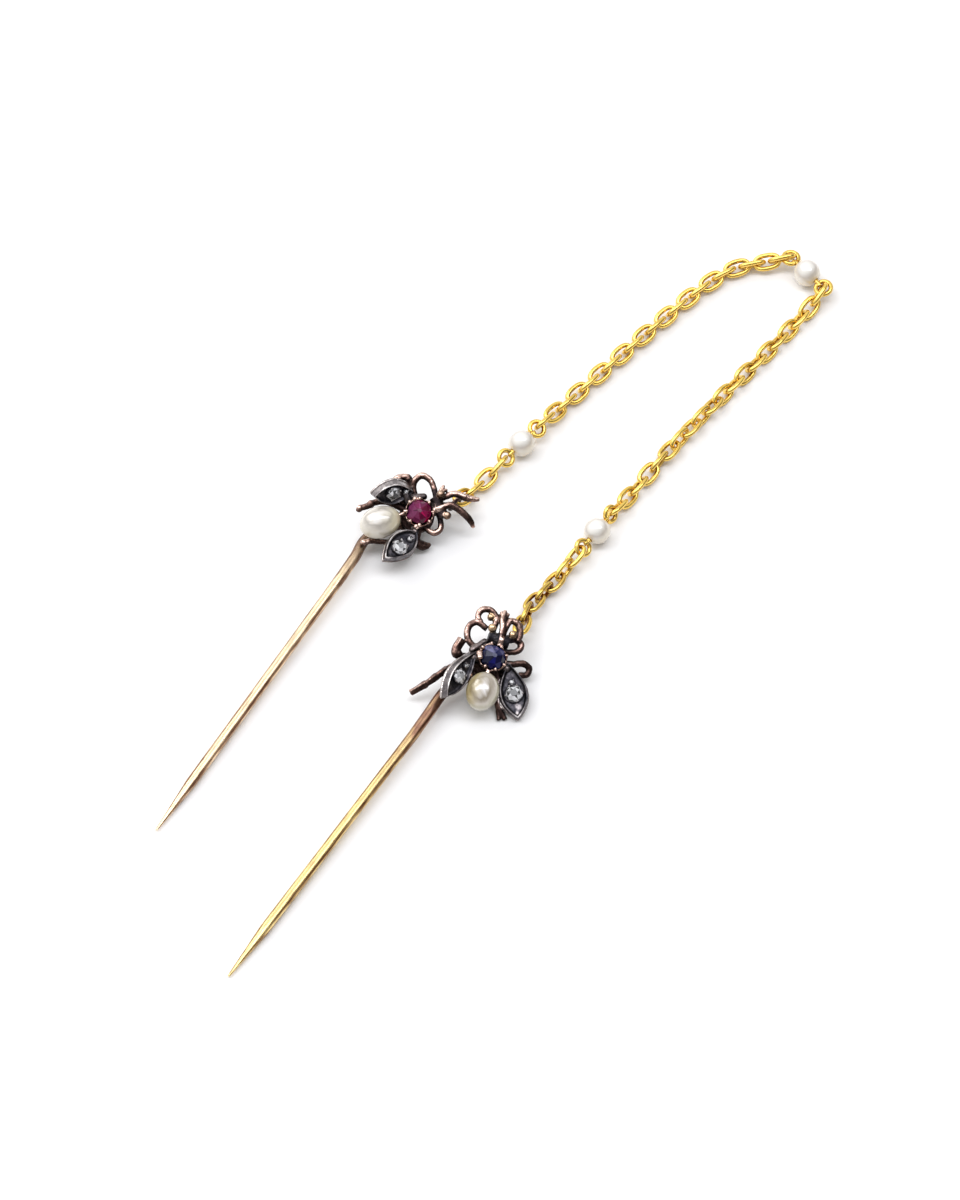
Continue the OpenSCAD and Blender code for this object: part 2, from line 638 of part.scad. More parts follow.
module chain() {
    links = [for (length = CHAIN) let (m = link_middles(length)) each
        [for (i = [1 : length[1]])
            link_points(m[i], unit(m[i + 1] - m[i - 1]), length[2] + 90 * (i - 1) + lookup(i, length[3]))]];
    color("#e8b830") polyhedron(
        points = [for (link = links) each link],
        faces = [for (n = [0 : len(links) - 1]) each link_faces(n)]
    );
}

pearl_r = chain_pearl_d / 2;

module on_chain(pearl) {
    translate([pearl[0], pearl[1], pearl_r]) rotate([0, 0, pearl[2]]) children();
}

module chain_pearl(i) {
    color("#f4f0e6") on_chain(chain_pearls[i]) rotate([0, 90, 0]) difference() {
        sphere(r = pearl_r, $fn = round_fn);
        cylinder(r = eye_wire_d / 2 + fit_gap, h = chain_pearl_d + 1, center = true, $fn = round_fn);
    }
}

module chain_eye_wire(i) {
    pearl = chain_pearls[i];
    reach = pearl[3];
    color("#e8c050") on_chain(pearl) {
        rotate([0, 90, 0])
            cylinder(d = eye_wire_d, h = 2 * (reach - ring_r), center = true, $fn = round_fn);
        for (end = [0, 1]) {
            translate([(2 * end - 1) * reach, 0, 0]) rotate([pearl[4 + end], 0, 0])
                rotate_extrude($fn = round_fn) translate([ring_r, 0]) circle(d = eye_wire_d, $fn = 24);
        }
    }
}

module placed() {
    translate(-middle) children();
}

placed() ruby_fly_frame();
placed() ruby_fly_stem();
placed() ruby();
placed() ruby_fly_body_pearl();
placed() ruby_fly_wing(0);  // ruby_fly_wing_left
placed() ruby_fly_wing(1);  // ruby_fly_wing_right
placed() ruby_fly_diamonds(0);  // ruby_fly_diamonds_left
placed() ruby_fly_diamonds(1);  // ruby_fly_diamonds_right
placed() sapphire_fly_frame();
placed() sapphire_fly_stem();
placed() sapphire();
placed() sapphire_fly_body_pearl();
placed() sapphire_fly_wing(0);  // sapphire_fly_wing_left
placed() sapphire_fly_wing(1);  // sapphire_fly_wing_right
placed() sapphire_fly_diamonds(0);  // sapphire_fly_diamonds_left
placed() sapphire_fly_diamonds(1);  // sapphire_fly_diamonds_right
placed() chain();
placed() chain_pearl(0);  // chain_pearl_1
placed() chain_pearl(1);  // chain_pearl_2
placed() chain_pearl(2);  // chain_pearl_3
placed() chain_eye_wire(0);  // chain_eye_wire_1
placed() chain_eye_wire(1);  // chain_eye_wire_2
placed() chain_eye_wire(2);  // chain_eye_wire_3
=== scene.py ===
# Looks of the double stick pin: two jewelled flies on long gold stems, joined by a chain with three pearls.
import math
from collections import namedtuple

import bmesh
import bpy
import numpy as np
from mathutils import Euler, Matrix, Vector
from mathutils.bvhtree import BVHTree


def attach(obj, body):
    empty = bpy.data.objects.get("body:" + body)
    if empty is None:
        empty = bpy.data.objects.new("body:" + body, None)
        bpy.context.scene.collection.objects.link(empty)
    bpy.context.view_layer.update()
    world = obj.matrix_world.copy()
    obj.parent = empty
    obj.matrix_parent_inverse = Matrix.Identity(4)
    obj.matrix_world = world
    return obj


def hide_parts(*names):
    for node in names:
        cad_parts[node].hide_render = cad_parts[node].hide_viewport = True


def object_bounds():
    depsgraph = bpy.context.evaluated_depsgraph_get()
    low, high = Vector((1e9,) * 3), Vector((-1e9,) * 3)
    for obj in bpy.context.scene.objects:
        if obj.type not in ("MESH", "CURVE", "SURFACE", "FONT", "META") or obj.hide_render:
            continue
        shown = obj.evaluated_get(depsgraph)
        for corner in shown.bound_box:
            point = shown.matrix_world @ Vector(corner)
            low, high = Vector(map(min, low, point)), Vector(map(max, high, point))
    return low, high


bl_info = {
    "name": "Double Stick Pin",
    "version": (1, 0, 0),
    "blender": (4, 5, 0),
    "location": "3D View > Sidebar > Stick Pin",
    "description": "Makes the stems, flies, pearls and chain of a double stick pin",
    "category": "Add Mesh",
}

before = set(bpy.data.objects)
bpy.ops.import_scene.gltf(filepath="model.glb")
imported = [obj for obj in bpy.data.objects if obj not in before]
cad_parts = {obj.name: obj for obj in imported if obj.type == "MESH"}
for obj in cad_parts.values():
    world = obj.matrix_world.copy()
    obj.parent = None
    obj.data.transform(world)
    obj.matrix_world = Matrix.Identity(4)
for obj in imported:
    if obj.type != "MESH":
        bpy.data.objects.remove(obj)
cad_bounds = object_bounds()

# Shapes are worked out in millimetres from the same origin as the tables of the CAD source, and every
# finished mesh is brought to metres about the middle of the pin
MM = 0.001
MIDDLE = np.array([0.333, 1.944, 0.003])
UP = np.array([0.0, 0.0, 1.0])
# Way across the table that runs from left to right in the photograph's view
RIGHT_ON_TABLE = (0.559, -0.829, 0.0)

# Stems: bent start from under the fly, and the two ends of the straight run
STEMS = {
    "ruby": {
        "bend": [(3.8, 11.1, 1.3), (1.5, 12.8, 1.15), (-0.9, 13.9, 1.12), (-3.6, 13.5, 1.3),
                 (-6.6, 13.25, 1.33)],
        "run": [(-6.6, 13.25, 1.33), (-43.5, 11.53, 0.34)],
    },
    "sapphire": {
        "bend": [(-8.1, -5.9, 1.3), (-10.5, -4.6, 1.35), (-12.8, -4.0, 1.4), (-15.9, -4.2, 1.4),
                 (-19.2, -4.4, 1.36)],
        "run": [(-19.2, -4.4, 1.36), (-54.6, -5.17, 0.33)],
    },
}

# A wing: lift of its outer edge in degrees, widest place along it, its large and small stone as place along,
# place across and size, its depth as a share of the usual, and how far across the arm under it ends
Wing = namedtuple("Wing", "root tip width lift widest large small deep arm")

# Flies. Each has its own frame of forward, left and up, with its middle "at" and turned by "turn" in degrees.
# Legs and feelers are points in it with the radius of the wire there
FLIES = {
    "ruby": {
        "at": (3.8, 10.3, 3.15),
        "turn": (20, -4, -34),
        # How uneven the facets of the coloured stone are
        "uneven": 0.12,
        "wings": [
            Wing(root=(0.2, 2.25, 0.6), tip=(-3.95, 2.95, 1.6), width=2.45, lift=48, widest=0.5,
                 large=(0.49, 0, 0.93), small=(0.17, 0, 1), deep=1, arm=1),
            Wing(root=(-1.05, -1.85, 0.45), tip=(-5.35, -3.55, 1.8), width=2.65, lift=-3, widest=0.44,
                 large=(0.54, 0.1, 1.02), small=(0.22, 0.1, 1), deep=0.9, arm=0),
        ],
        # Body pearl: middle, and its length and width as shares of the usual
        "pearl": ((-4.25, 0.5, 0.4), 1.02, 0.97),
        "eyes": [(2.8, 0.95, 0.7), (2.6, -1.35, 0.45)],
        "legs": [
            # left front leg, arched up to the head
            [(0.3, 1.0, -0.6, 0.2), (0.5, 2.5, -0.6, 0.22), (0.85, 3.45, -0.4, 0.24), (1.8, 3.8, -0.2, 0.25),
             (2.5, 3.0, -0.2, 0.24), (2.5, 1.85, -0.2, 0.22), (2.3, 0.9, 0, 0.2)],
            # right front leg, a closed loop below the head
            [(0.6, -0.7, -0.5, 0.2), (0.05, -1.35, -0.45, 0.2), (0.3, -1.95, -0.4, 0.21),
             (0.8, -2.45, -0.4, 0.24), (1.55, -2.25, -0.4, 0.24), (1.9, -1.3, -0.35, 0.2),
             (2.0, -0.5, -0.2, 0.2)],
            # left middle leg, curled against the wing
            [(0.3, 1.0, -0.8, 0.26), (0.45, 3.2, -0.95, 0.28), (0.5, 4.17, -0.75, 0.28),
             (-0.25, 4.55, -0.7, 0.26), (-1.0, 4.5, -0.8, 0.24)],
            # left hind leg, with its foot past the body pearl
            [(-0.9, 0.8, -0.8, 0.26), (-2.4, 2.5, -0.85, 0.26), (-3.75, 2.95, -0.7, 0.24),
             (-4.8, 2.85, -0.6, 0.24), (-5.6, 2.95, -0.6, 0.2)],
            # right hind leg, lying over the stem
            [(-0.7, -0.8, -0.8, 0.26), (-2.4, -1.9, -0.95, 0.24), (-3.95, -1.6, -0.8, 0.2),
             (-5.7, -0.85, -0.6, 0.2), (-6.6, -0.75, -0.4, 0.24)],
            # right middle leg, short and folded
            [(-0.3, -1.0, -0.8, 0.26), (-1.2, -2.4, -1.0, 0.3), (-0.9, -3.1, -1.25, 0.32),
             (-0.15, -3.3, -1.3, 0.22)],
        ],
        "feelers": [
            [(2.4, 0.6, 0.1, 0.2), (3.3, 0.65, 0.25, 0.24), (4.1, 0.6, 0.4, 0.25), (4.75, 0.2, 0.4, 0.26),
             (5.45, -0.4, 0.2, 0.27), (6.5, -0.85, 0, 0.12)],
            [(1.5, -0.2, 0.3, 0.2), (2.3, -0.35, 0.5, 0.24), (3.35, -0.45, 0.5, 0.27), (4.0, -1.1, 0.3, 0.27),
             (4.55, -2.05, 0, 0.25), (4.85, -2.75, -0.4, 0.22), (4.9, -3.3, -0.8, 0.1)],
            # small twig with two points beside the left eye
            [(2.6, 0.9, 0.6, 0.14), (2.9, 1.25, 0.7, 0.14), (3.2, 1.5, 0.65, 0.14), (3.5, 1.8, 0.6, 0.08)],
            [(2.8, 1.2, 0.65, 0.14), (3.2, 1.25, 0.65, 0.14), (3.65, 1.15, 0.6, 0.1)],
        ],
        # Knobs of the feet and knuckles: forward, left, up, radius
        "knobs": [(-5.6, 2.9, -0.56, 0.42), (-4.9, 2.88, -0.58, 0.3), (-4.25, 2.93, -0.62, 0.44),
                  (-6.6, -0.75, -0.38, 0.36), (-6.1, -0.8, -0.45, 0.31), (-0.95, 4.45, -0.78, 0.33),
                  (0.45, 4.1, -0.72, 0.4), (-0.4, 4.4, -0.5, 0.3), (-0.15, -3.25, -1.28, 0.28),
                  (-1.1, -2.7, -1.1, 0.4), (0.05, 1.5, 0.6, 0.3), (-0.9, -1.3, 0.45, 0.32)],
        # How bright the rim of each wing is at the outer edge, inner edge and tip, worn silver with a painted
        # highlight on the edges towards the light, and then its wall
        "rims": [(1.0, 0.2, 0.75), (0.4, 0.75, 1.0)],
        "walls": [0.55, 0.36],
        # Bright patches on the floor of each wing: along, across, reach, brightness
        "spots": [[(0.86, 0.1, 0.35, 0.4)], [(0.12, 0, 0.5, 0.4), (0.8, -0.2, 0.4, 0.35)]],
        # Grey plate that joins the left wing to the thorax: start, end, radius
        "shoulder": ((-0.1, 1.95, -0.15), (1.2, 1.6, -0.25), 0.36),
        # Solder between the wings and the collet: start, end, radius
        "solder": [((-0.45, 1.3, -0.1), (-0.55, 2.3, 0.15), 0.42),
                   ((-0.9, -1.0, -0.1), (-1.2, -1.75, 0.1), 0.4)],
        # Size of each claw, anticlockwise from just left of forward
        "claw_sizes": [1.2, 1.0, 1.35, 1.5, 1.0, 1.5, 1.15, 0.9],
        # Browner and brighter parts: forward, left, up, reach, change of patina
        "tones": [(0.05, 1.5, 0.75, 0.45, -0.6), (-0.9, -1.3, 0.6, 0.45, -0.6), (-4.8, 2.9, -0.6, 1.8, 0.3),
                  (-4.0, -1.6, -0.8, 2.2, 0.25), (-0.8, -2.9, -1.2, 1.4, 0.3), (0.9, -2.4, -0.4, 0.9, -0.35),
                  (-0.1, -3.3, -1.3, 0.5, -0.3), (4.6, -2.1, -0.2, 1.0, 0.25), (4.95, -3.2, -0.8, 0.6, -0.6),
                  (-5.6, 2.9, -0.5, 0.5, -0.55), (-6.55, -0.75, -0.3, 0.5, -0.3),
                  (5.6, -0.5, 0.2, 1.4, -0.2), (1.0, 3.6, -0.3, 1.0, 0.15)],
        # Forged square bars on the legs: start, end, half diagonal at each
        "bars": [((-4.2, 2.92, -0.66), (-5.0, 2.86, -0.58), 0.44, 0.36),
                 ((-1.05, -2.7, -1.1), (-0.3, -3.25, -1.25), 0.5, 0.38)],
        # Whether the last knob is a yellow ball, like the eyes
        "has_ball": False,
        # How grey the head is
        "head": 0.45,
        # Bright ridge over the head: how far left of the middle, half width
        "ridge": (-0.45, 0.2),
        # Patina all over
        "age": 0.07,
        # In the pin's frame: ends of the bar from the fly down to the collar of the stem, then the fixed ring
        # that holds the chain as middle, heading and roll, and the place on the fly that its wire comes from
        "collar_bar": [(3.75, 10.6, 2.4), (3.8, 11.1, 1.3)],
        "ring": ((7.7, 8.35, 2.0), -8, -75),
        "ring_root": (6.0, 9.4, 3.2),
    },
    "sapphire": {
        "at": (-7.35, -6.45, 3.15),
        "turn": (18, -13, 19),
        "uneven": 0.08,
        "wings": [
            Wing(root=(-0.1, 1.85, 0.6), tip=(-6.1, 3.6, 1.15), width=2.2, lift=28, widest=0.54,
                 large=(0.54, 0, 0.93), small=(0.3, 0, 1), deep=1, arm=0.6),
            Wing(root=(-0.1, -1.8, 0.45), tip=(-5.5, -4.3, 0.45), width=2.9, lift=12, widest=0.55,
                 large=(0.55, 0, 1.13), small=(0.34, 0, 1), deep=0.7, arm=0),
        ],
        "pearl": ((-3.95, 0.05, 0.3), 0.97, 1.0),
        "eyes": [(3.0, 0.95, 0.7), (3.1, -1.4, 0.45)],
        "legs": [
            # left front leg, a wide hook
            [(1.2, 0.6, -0.4, 0.24), (0.85, 1.9, -0.35, 0.24), (1.0, 2.6, -0.3, 0.24),
             (1.7, 3.15, -0.3, 0.25), (2.7, 3.2, -0.2, 0.25), (3.4, 2.5, -0.15, 0.24),
             (3.0, 1.3, -0.1, 0.22)],
            # right front leg, a small closed loop
            [(2.4, -1.0, -0.3, 0.22), (2.95, -1.9, -0.35, 0.24), (2.75, -2.6, -0.4, 0.26),
             (2.1, -2.65, -0.4, 0.24), (1.6, -2.1, -0.4, 0.22), (1.2, -1.0, -0.4, 0.22)],
            # left middle leg, a thick stub
            [(0.1, 0.9, -0.7, 0.26), (-0.5, 2.8, -0.8, 0.28), (-0.6, 3.7, -0.65, 0.3),
             (0.1, 3.85, -0.55, 0.34), (0.8, 3.65, -0.5, 0.3)],
            # left hind leg, reaching out past the stem
            [(-0.8, 0.9, -0.8, 0.26), (-1.75, 3.4, -0.9, 0.25), (-3.2, 4.8, -1.2, 0.24),
             (-4.35, 5.7, -1.9, 0.24), (-5.5, 6.9, -2.9, 0.24)],
            # right middle leg, a flat loop
            [(0.1, -1.0, -0.7, 0.26), (0.3, -2.3, -0.6, 0.26), (0.8, -3.4, -0.6, 0.25),
             (0.6, -4.2, -0.75, 0.25), (-0.1, -4.2, -0.95, 0.24), (-0.4, -3.4, -1.1, 0.22)],
            # right hind leg, down to the table
            [(-0.6, -0.9, -0.8, 0.26), (-2.4, -1.6, -0.9, 0.26), (-3.8, -1.95, -0.8, 0.26),
             (-4.7, -2.3, -0.9, 0.27), (-5.75, -3.25, -0.74, 0.15)],
        ],
        "feelers": [
            # left feeler, curled into a hoop
            [(2.6, 0.7, 0, 0.22), (3.5, 0.65, 0.05, 0.24), (4.5, 0.7, 0, 0.25), (5.1, 1.5, 0, 0.25),
             (4.8, 2.4, 0, 0.25), (3.95, 2.6, -0.05, 0.23), (3.5, 2.1, -0.1, 0.2)],
            # right feeler, curled the other way
            [(2.6, -0.5, 0.1, 0.22), (3.6, -0.5, 0.2, 0.24), (4.6, -0.85, 0.2, 0.25), (4.5, -1.7, 0.1, 0.25),
             (3.7, -2.2, 0, 0.25), (2.75, -2.15, -0.1, 0.22)],
            # mouth, a strip that ends in a fork of three
            [(1.7, -0.3, 0.3, 0.2), (3.2, -0.15, 0.65, 0.22), (4.2, 0.05, 0.5, 0.24), (4.7, 0.05, 0.35, 0.22),
             (5.5, 0, 0.25, 0.12)],
            [(4.5, 0.05, 0.35, 0.16), (4.9, 0.25, 0.3, 0.15), (5.25, 0.4, 0.25, 0.1)],
            [(4.5, 0, 0.35, 0.16), (4.9, -0.25, 0.3, 0.15), (5.3, -0.45, 0.25, 0.1)],
            # second toe of the right hind leg
            [(-4.6, -2.2, -0.9, 0.2), (-5.3, -2.4, -0.9, 0.18), (-6.0, -2.6, -0.85, 0.12)],
        ],
        "knobs": [(-0.15, 1.5, 0.6, 0.4), (-0.5, 1.4, 0.4, 0.34), (-0.45, 3.5, -0.62, 0.46),
                  (3.98, 2.58, -0.03, 0.33), (2.9, -2.3, -0.36, 0.34), (0.65, -4.2, -0.72, 0.36),
                  (-4.7, -2.4, -0.86, 0.36), (4.4, 1.25, -0.1, 0.42)],
        "rims": [(1.0, 0.3, 0.7), (0.12, 0.35, 0.75)],
        "walls": [0.4, 0.24],
        "spots": [[(0.9, 0.1, 0.3, 0.35)],
                  [(0.8, 0.3, 0.5, 0.62), (0.9, 0.05, 0.3, 0.7), (0.2, 0.2, 0.5, 0.3)]],
        "shoulder": ((0.25, 2.25, -0.15), (1.55, 1.2, -0.1), 0.36),
        "solder": [((-0.4, 1.25, -0.1), (-0.6, 1.9, 0.1), 0.42),
                   ((-0.5, -1.25, -0.1), (-0.6, -1.9, 0), 0.42)],
        "claw_sizes": [1.0, 1.25, 1.9, 1.3, 1.15, 1.1, 0.9, 1.0],
        "tones": [(-0.3, 1.5, 0.75, 0.6, -0.7), (0.95, 3.55, -0.3, 0.7, -0.25), (-0.3, 3.6, -0.7, 1.1, 0.3),
                  (0.5, -3.6, -0.7, 1.6, 0.25), (-4.0, -2.0, -0.9, 2.2, 0.4), (-5.4, -2.7, -0.8, 1.0, 0.35),
                  (1.0, 2.4, -0.3, 1.2, 0.25), (-3.5, 5.0, -1.4, 2.8, 0.3), (0.2, -4.1, -0.9, 1.2, 0.2),
                  (2.6, 3.2, -0.2, 1.0, 0.15), (5.3, 0.0, 0.3, 0.7, -0.25), (4.4, 2.3, 0, 1.3, -0.22),
                  (3.8, -1.3, 0.3, 1.4, -0.24)],
        # These bars are on the left middle leg and the left hind leg
        "bars": [((-0.1, 3.85, -0.6), (1.15, 3.52, -0.32), 0.52, 0.55),
                 ((-1.55, 3.2, -0.85), (-2.5, 4.2, -1.0), 0.5, 0.4),
                 ((-2.4, 4.1, -0.95), (-3.5, 5.0, -1.32), 0.52, 0.38),
                 ((-3.4, 4.92, -1.25), (-4.45, 5.76, -1.95), 0.5, 0.38),
                 ((-4.35, 5.7, -1.85), (-5.45, 6.8, -2.8), 0.5, 0.4)],
        # The last knob is the ball in the left feeler's hoop
        "has_ball": True,
        "head": 0.85,
        "ridge": (-0.35, 0.2),
        "age": 0.15,
        "collar_bar": [(-7.5, -6.3, 2.4), (-8.1, -5.9, 1.3)],
        "ring": ((-2.4, -6.6, 2.1), 20, 90),
        "ring_root": (-4.9, -5.8, 3.4),
    },
}

EYE_RADIUS = 0.45
CLAWS = 8

# Pearls on the chain: place on the table, direction of the wire through them, reach of its loops from the
# middle, roll of the first and of the last loop
ChainPearl = namedtuple("ChainPearl", "x y heading reach first_roll last_roll")
CHAIN_PEARLS = [
    ChainPearl(18.35, 7.1, -7, 2.5, 35, 25),
    ChainPearl(53.6, -5.65, -105, 2.6, -5, 10),
    ChainPearl(13.4, -5.8, 180, 2.6, -60, -40),
]

# Colour zones of the pearls, which paint their highlight, shade bands and reflections, as shares of their
# nacre: how far a point faces away from above, and the share
PEARL_ZONES = {
    "chain": [(0, (0.96, 0.96, 0.96)), (0.1, (0.9, 0.89, 0.87)), (0.28, (0.7, 0.655, 0.62)),
              (0.6, (0.93, 0.89, 0.82)), (1, (0.88, 0.82, 0.72))],
    "ruby": [(0, (1, 1, 1)), (0.06, (0.9, 0.87, 0.82)), (0.15, (0.55, 0.52, 0.48)),
             (0.3, (0.86, 0.83, 0.77)), (0.6, (0.84, 0.8, 0.68)), (1, (0.8, 0.77, 0.66))],
    "sapphire": [(0, (0.95, 0.95, 1)), (0.06, (0.7, 0.66, 0.62)), (0.15, (0.38, 0.33, 0.26)),
                 (0.33, (0.74, 0.69, 0.62)), (0.6, (0.56, 0.53, 0.38)), (1, (0.66, 0.65, 0.55))],
}

# Lengths of chain: middle line, number of links, roll of the first in degrees, added twist as link number and
# degrees, way from each end of the line to the nearest link, and how far on from even the middle links lie
ChainLength = namedtuple("ChainLength", "line links roll twist lead tail slack")
NO_TWIST = [(0, 0), (99, 0)]
CHAIN = [
    ChainLength([(7.7, 8.35, 1.45), (9.2, 8.2, 0.65), (11, 8.05, 0.1), (12.9, 7.8, 0.05), (14.4, 7.6, 0.25),
                 (15.87, 7.4, 0.95)],
                links=4, roll=25, twist=NO_TWIST, lead=1.5, tail=1.43, slack=0),
    ChainLength([(20.83, 6.8, 0.75), (22.4, 6.7, 0.4), (25, 6.4, 0), (30.6, 5.5, 0), (37.6, 4.35, 0),
                 (44.4, 3.1, 0), (48.4, 2.0, 0), (50.6, 0.85, 0), (52.4, -1.05, 0.25), (54.27, -3.14, 0.75)],
                links=21, roll=-65, twist=NO_TWIST, lead=1.4, tail=1, slack=0.4),
    ChainLength([(52.93, -8.16, 0.8), (51.5, -8.2, 0.3), (49.3, -8.1, 0), (43.7, -7.65, 0), (36.3, -6.9, 0),
                 (29, -6.3, 0), (23.5, -6.05, 0), (19.7, -5.9, 0), (17.5, -5.85, 0.3), (16, -5.8, 0.75)],
                links=20, roll=45,
                twist=[(0, 15), (1, 15), (3, 0), (9, 0), (12, -25), (14, -25), (18, -85), (99, -85)],
                lead=1, tail=1.35, slack=-0.2),
    ChainLength([(10.8, -5.8, 0.8), (9.3, -5.7, 0.4), (7, -5.6, 0), (4.4, -5.5, 0), (2, -5.4, 0.35),
                 (0.2, -5.7, 0.5), (-1.2, -6.15, 0.75), (-2.4, -6.6, 1.05)],
                links=7, roll=25, twist=[(0, 0), (1, 0), (3, -20), (99, -20)],
                lead=1.4, tail=1.4, slack=0.15),
]
LINK_SQUARENESS = 2.5
# How yellow a link is and how much painted shade its inside gets, and the same along the last length, from
# the pearl to the sapphire fly
LINK_TONE = 0.72
LINK_HOLLOW = 1.0
LAST_TONES = (0.66, 0.66, 0.62, 0.54, 0.48, 0.46, 0.56)
LAST_HOLLOWS = (1, 1, 1.3, 1.8, 2.2, 2.2, 1.8)
# How yellow the wires through the pearls are
EYE_WIRE_TONE = 0.66
# How much thicker the wires of legs and feelers are than their tables say, with what smoothing takes off them
LEG_SWELL = 1.2
LEG_EXTRA = 0.06


# Sizes and colours that a user would change


def length_property(name, description, millimetres, low, high):
    """Length in metres, given here in millimetres."""
    return bpy.props.FloatProperty(
        name=name, description=description, default=millimetres * MM, min=low * MM, max=high * MM,
        subtype="DISTANCE", unit="LENGTH", precision=5)


def colour_property(name, description, colour):
    """Linear colour."""
    return bpy.props.FloatVectorProperty(
        name=name, description=description, default=colour, size=3, min=0, max=1, subtype="COLOR")


class StemSettings(bpy.types.PropertyGroup):
    """Sizes and colours of the two stems."""

    diameter: length_property("Diameter", "Diameter of each stem", 1.12, 0.9, 1.2)
    taper: length_property("Taper", "Length of the taper at each point", 7, 5, 12)
    point: length_property("Point", "Diameter left at the very point", 0.24, 0.16, 0.4)
    ruby_gold: colour_property("Ruby stem", "Gold of the ruby fly's stem", (0.97, 0.76, 0.50))
    sapphire_gold: colour_property("Sapphire stem", "Gold of the sapphire fly's stem", (0.93, 0.72, 0.32))
    copper: colour_property("Head of stem", "Brown copper near the sapphire fly", (0.36, 0.2, 0.135))


class ChainSettings(bpy.types.PropertyGroup):
    """Sizes and colours of the chain and its pearls."""

    link_length: length_property("Link length", "Outer length of each link", 3.07, 2.94, 3.1)
    link_width: length_property("Link width", "Outer width of each link", 1.92, 1.76, 1.94)
    link_wire: length_property("Link wire", "Thickness of the wire of each link", 0.51, 0.38, 0.52)
    pearl: length_property("Pearl", "Diameter of each pearl on the chain", 2.9, 2.6, 3)
    loop: length_property("Wire loop", "Outer diameter of the loops beside each pearl", 2.1, 1.98, 2.12)
    loop_wire: length_property("Loop wire", "Thickness of the wire through each pearl", 0.5, 0.34, 0.52)
    gold: colour_property("Gold", "Bright yellow gold of the links", (0.99, 0.69, 0.165))
    # Old gold of the last links, and also the colour of the painted shade inside the links
    old_gold_and_shade: colour_property("Old gold", "Brown gold of hollows and of the last links", (0.22, 0.085, 0.022))
    nacre: colour_property("Nacre", "Colour of the chain pearls", (0.935, 0.915, 0.87))


class FlySettings(bpy.types.PropertyGroup):
    """Sizes and colours of the two flies."""

    gem: length_property("Stone", "Diameter of the ruby and of the sapphire", 2.66, 2.3, 2.7)
    pearl_length: length_property("Body pearl length", "Usual length of a body pearl", 4.4, 4.1, 4.5)
    pearl_width: length_property("Body pearl width", "Usual width of a body pearl", 3.55, 3.3, 3.65)
    wing_depth: length_property("Wing depth", "Depth of the silver of each wing", 0.8, 0.6, 0.85)
    wing_rim: length_property("Wing rim", "Width of the raised rim round each wing", 0.17, 0.1, 0.24)
    diamond: length_property("Large diamond", "Usual diameter of the large diamond in a wing", 1.6, 1.4, 1.65)
    rose_gold: colour_property("Rose gold", "Worn rose gold of legs, feelers and claws", (0.83, 0.60, 0.51))
    # Darkest colour of the frames: patina, and also painted shade
    patina_and_shade: colour_property("Patina", "Dark brown of the hollows", (0.032, 0.019, 0.017))
    ball_gold: colour_property("Yellow gold", "Gold of the ball eyes", (0.72, 0.50, 0.28))
    silver: colour_property("Silver", "Worn edges of the wings", (0.82, 0.79, 0.78))
    oxide: colour_property("Oxide", "Blackened floor of the wings", (0.022, 0.022, 0.027))
    nacre: colour_property("Nacre", "Colour of the body pearls", (0.84, 0.81, 0.77))
    diamond_white: colour_property("Diamond", "Lightest facets of the diamonds", (0.82, 0.82, 0.84))


class StageSettings(bpy.types.PropertyGroup):
    """Floor, light and camera."""

    floor: colour_property("Floor", "Colour of the plain floor", (0.94, 0.933, 0.927))
    fill: bpy.props.FloatProperty(
        name="Fill", description="Strength of the light from all round", default=0.9, min=0, max=3)
    overhead: bpy.props.FloatProperty(
        name="Overhead", description="Power of the long soft box overhead", default=4.4, min=0, max=50,
        unit="POWER")
    key: bpy.props.FloatProperty(
        name="Key", description="Power of the soft box behind the pin", default=1.6, min=0, max=50,
        unit="POWER")


# Plain arithmetic


def unit(v):
    v = np.asarray(v, dtype=float)
    return v / np.linalg.norm(v)


def cos_deg(a):
    return math.cos(math.radians(a))


def sin_deg(a):
    return math.sin(math.radians(a))


def smooth(points, steps):
    """Catmull-Rom curve through the points, as the CAD source draws it."""
    p = np.asarray(points, dtype=float)
    last = len(p) - 1
    out = []
    for i in range(steps + 1):
        u = i * last / steps
        k = min(int(u), last - 1)
        f = u - k
        a, b, c, d = p[max(k - 1, 0)], p[k], p[k + 1], p[min(k + 2, last)]
        out.append(0.5 * (2 * b + (c - a) * f + (2 * a - 5 * b + 4 * c - d) * f ** 2
                          + (3 * b - a - 3 * c + d) * f ** 3))
    return np.array(out)


def runs(points):
    """Distance run at each point of a curve."""
    steps = np.linalg.norm(np.diff(points, axis=0), axis=1)
    return np.concatenate([[0.0], np.cumsum(steps)])


def turn_matrix(turn):
    """Rotation of the CAD source's rotate([x, y, z]), as an array."""
    return np.array(Euler([math.radians(a) for a in turn], "XYZ").to_matrix())


def fly_place(fly, points):
    """From a fly's own frame to the pin's, in millimetres."""
    return np.asarray(points, dtype=float) @ turn_matrix(fly["turn"]).T + np.array(fly["at"])


def shade(colour, share):
    """A colour made darker or lighter."""
    return tuple(share * c for c in colour)


def tint(colour, other):
    """A colour multiplied by another."""
    return tuple(c * o for c, o in zip(colour, other))


def mix(first, second, share):
    """A share of the first colour, and the rest of the second."""
    return tuple(share * a + (1 - share) * b for a, b in zip(first, second))


def basis_for(direction):
    """Two directions square to a direction."""
    w = unit(direction)
    side = unit(np.cross(w, [0.12, 0.31, 1.0] if abs(w[2]) < 0.9 else [1.0, 0.2, 0.1]))
    return side, np.cross(w, side)


# Meshes in millimetres


def circle(count):
    """Angles of points that are evenly spaced round a circle."""
    return np.linspace(0, 2 * np.pi, count, endpoint=False)


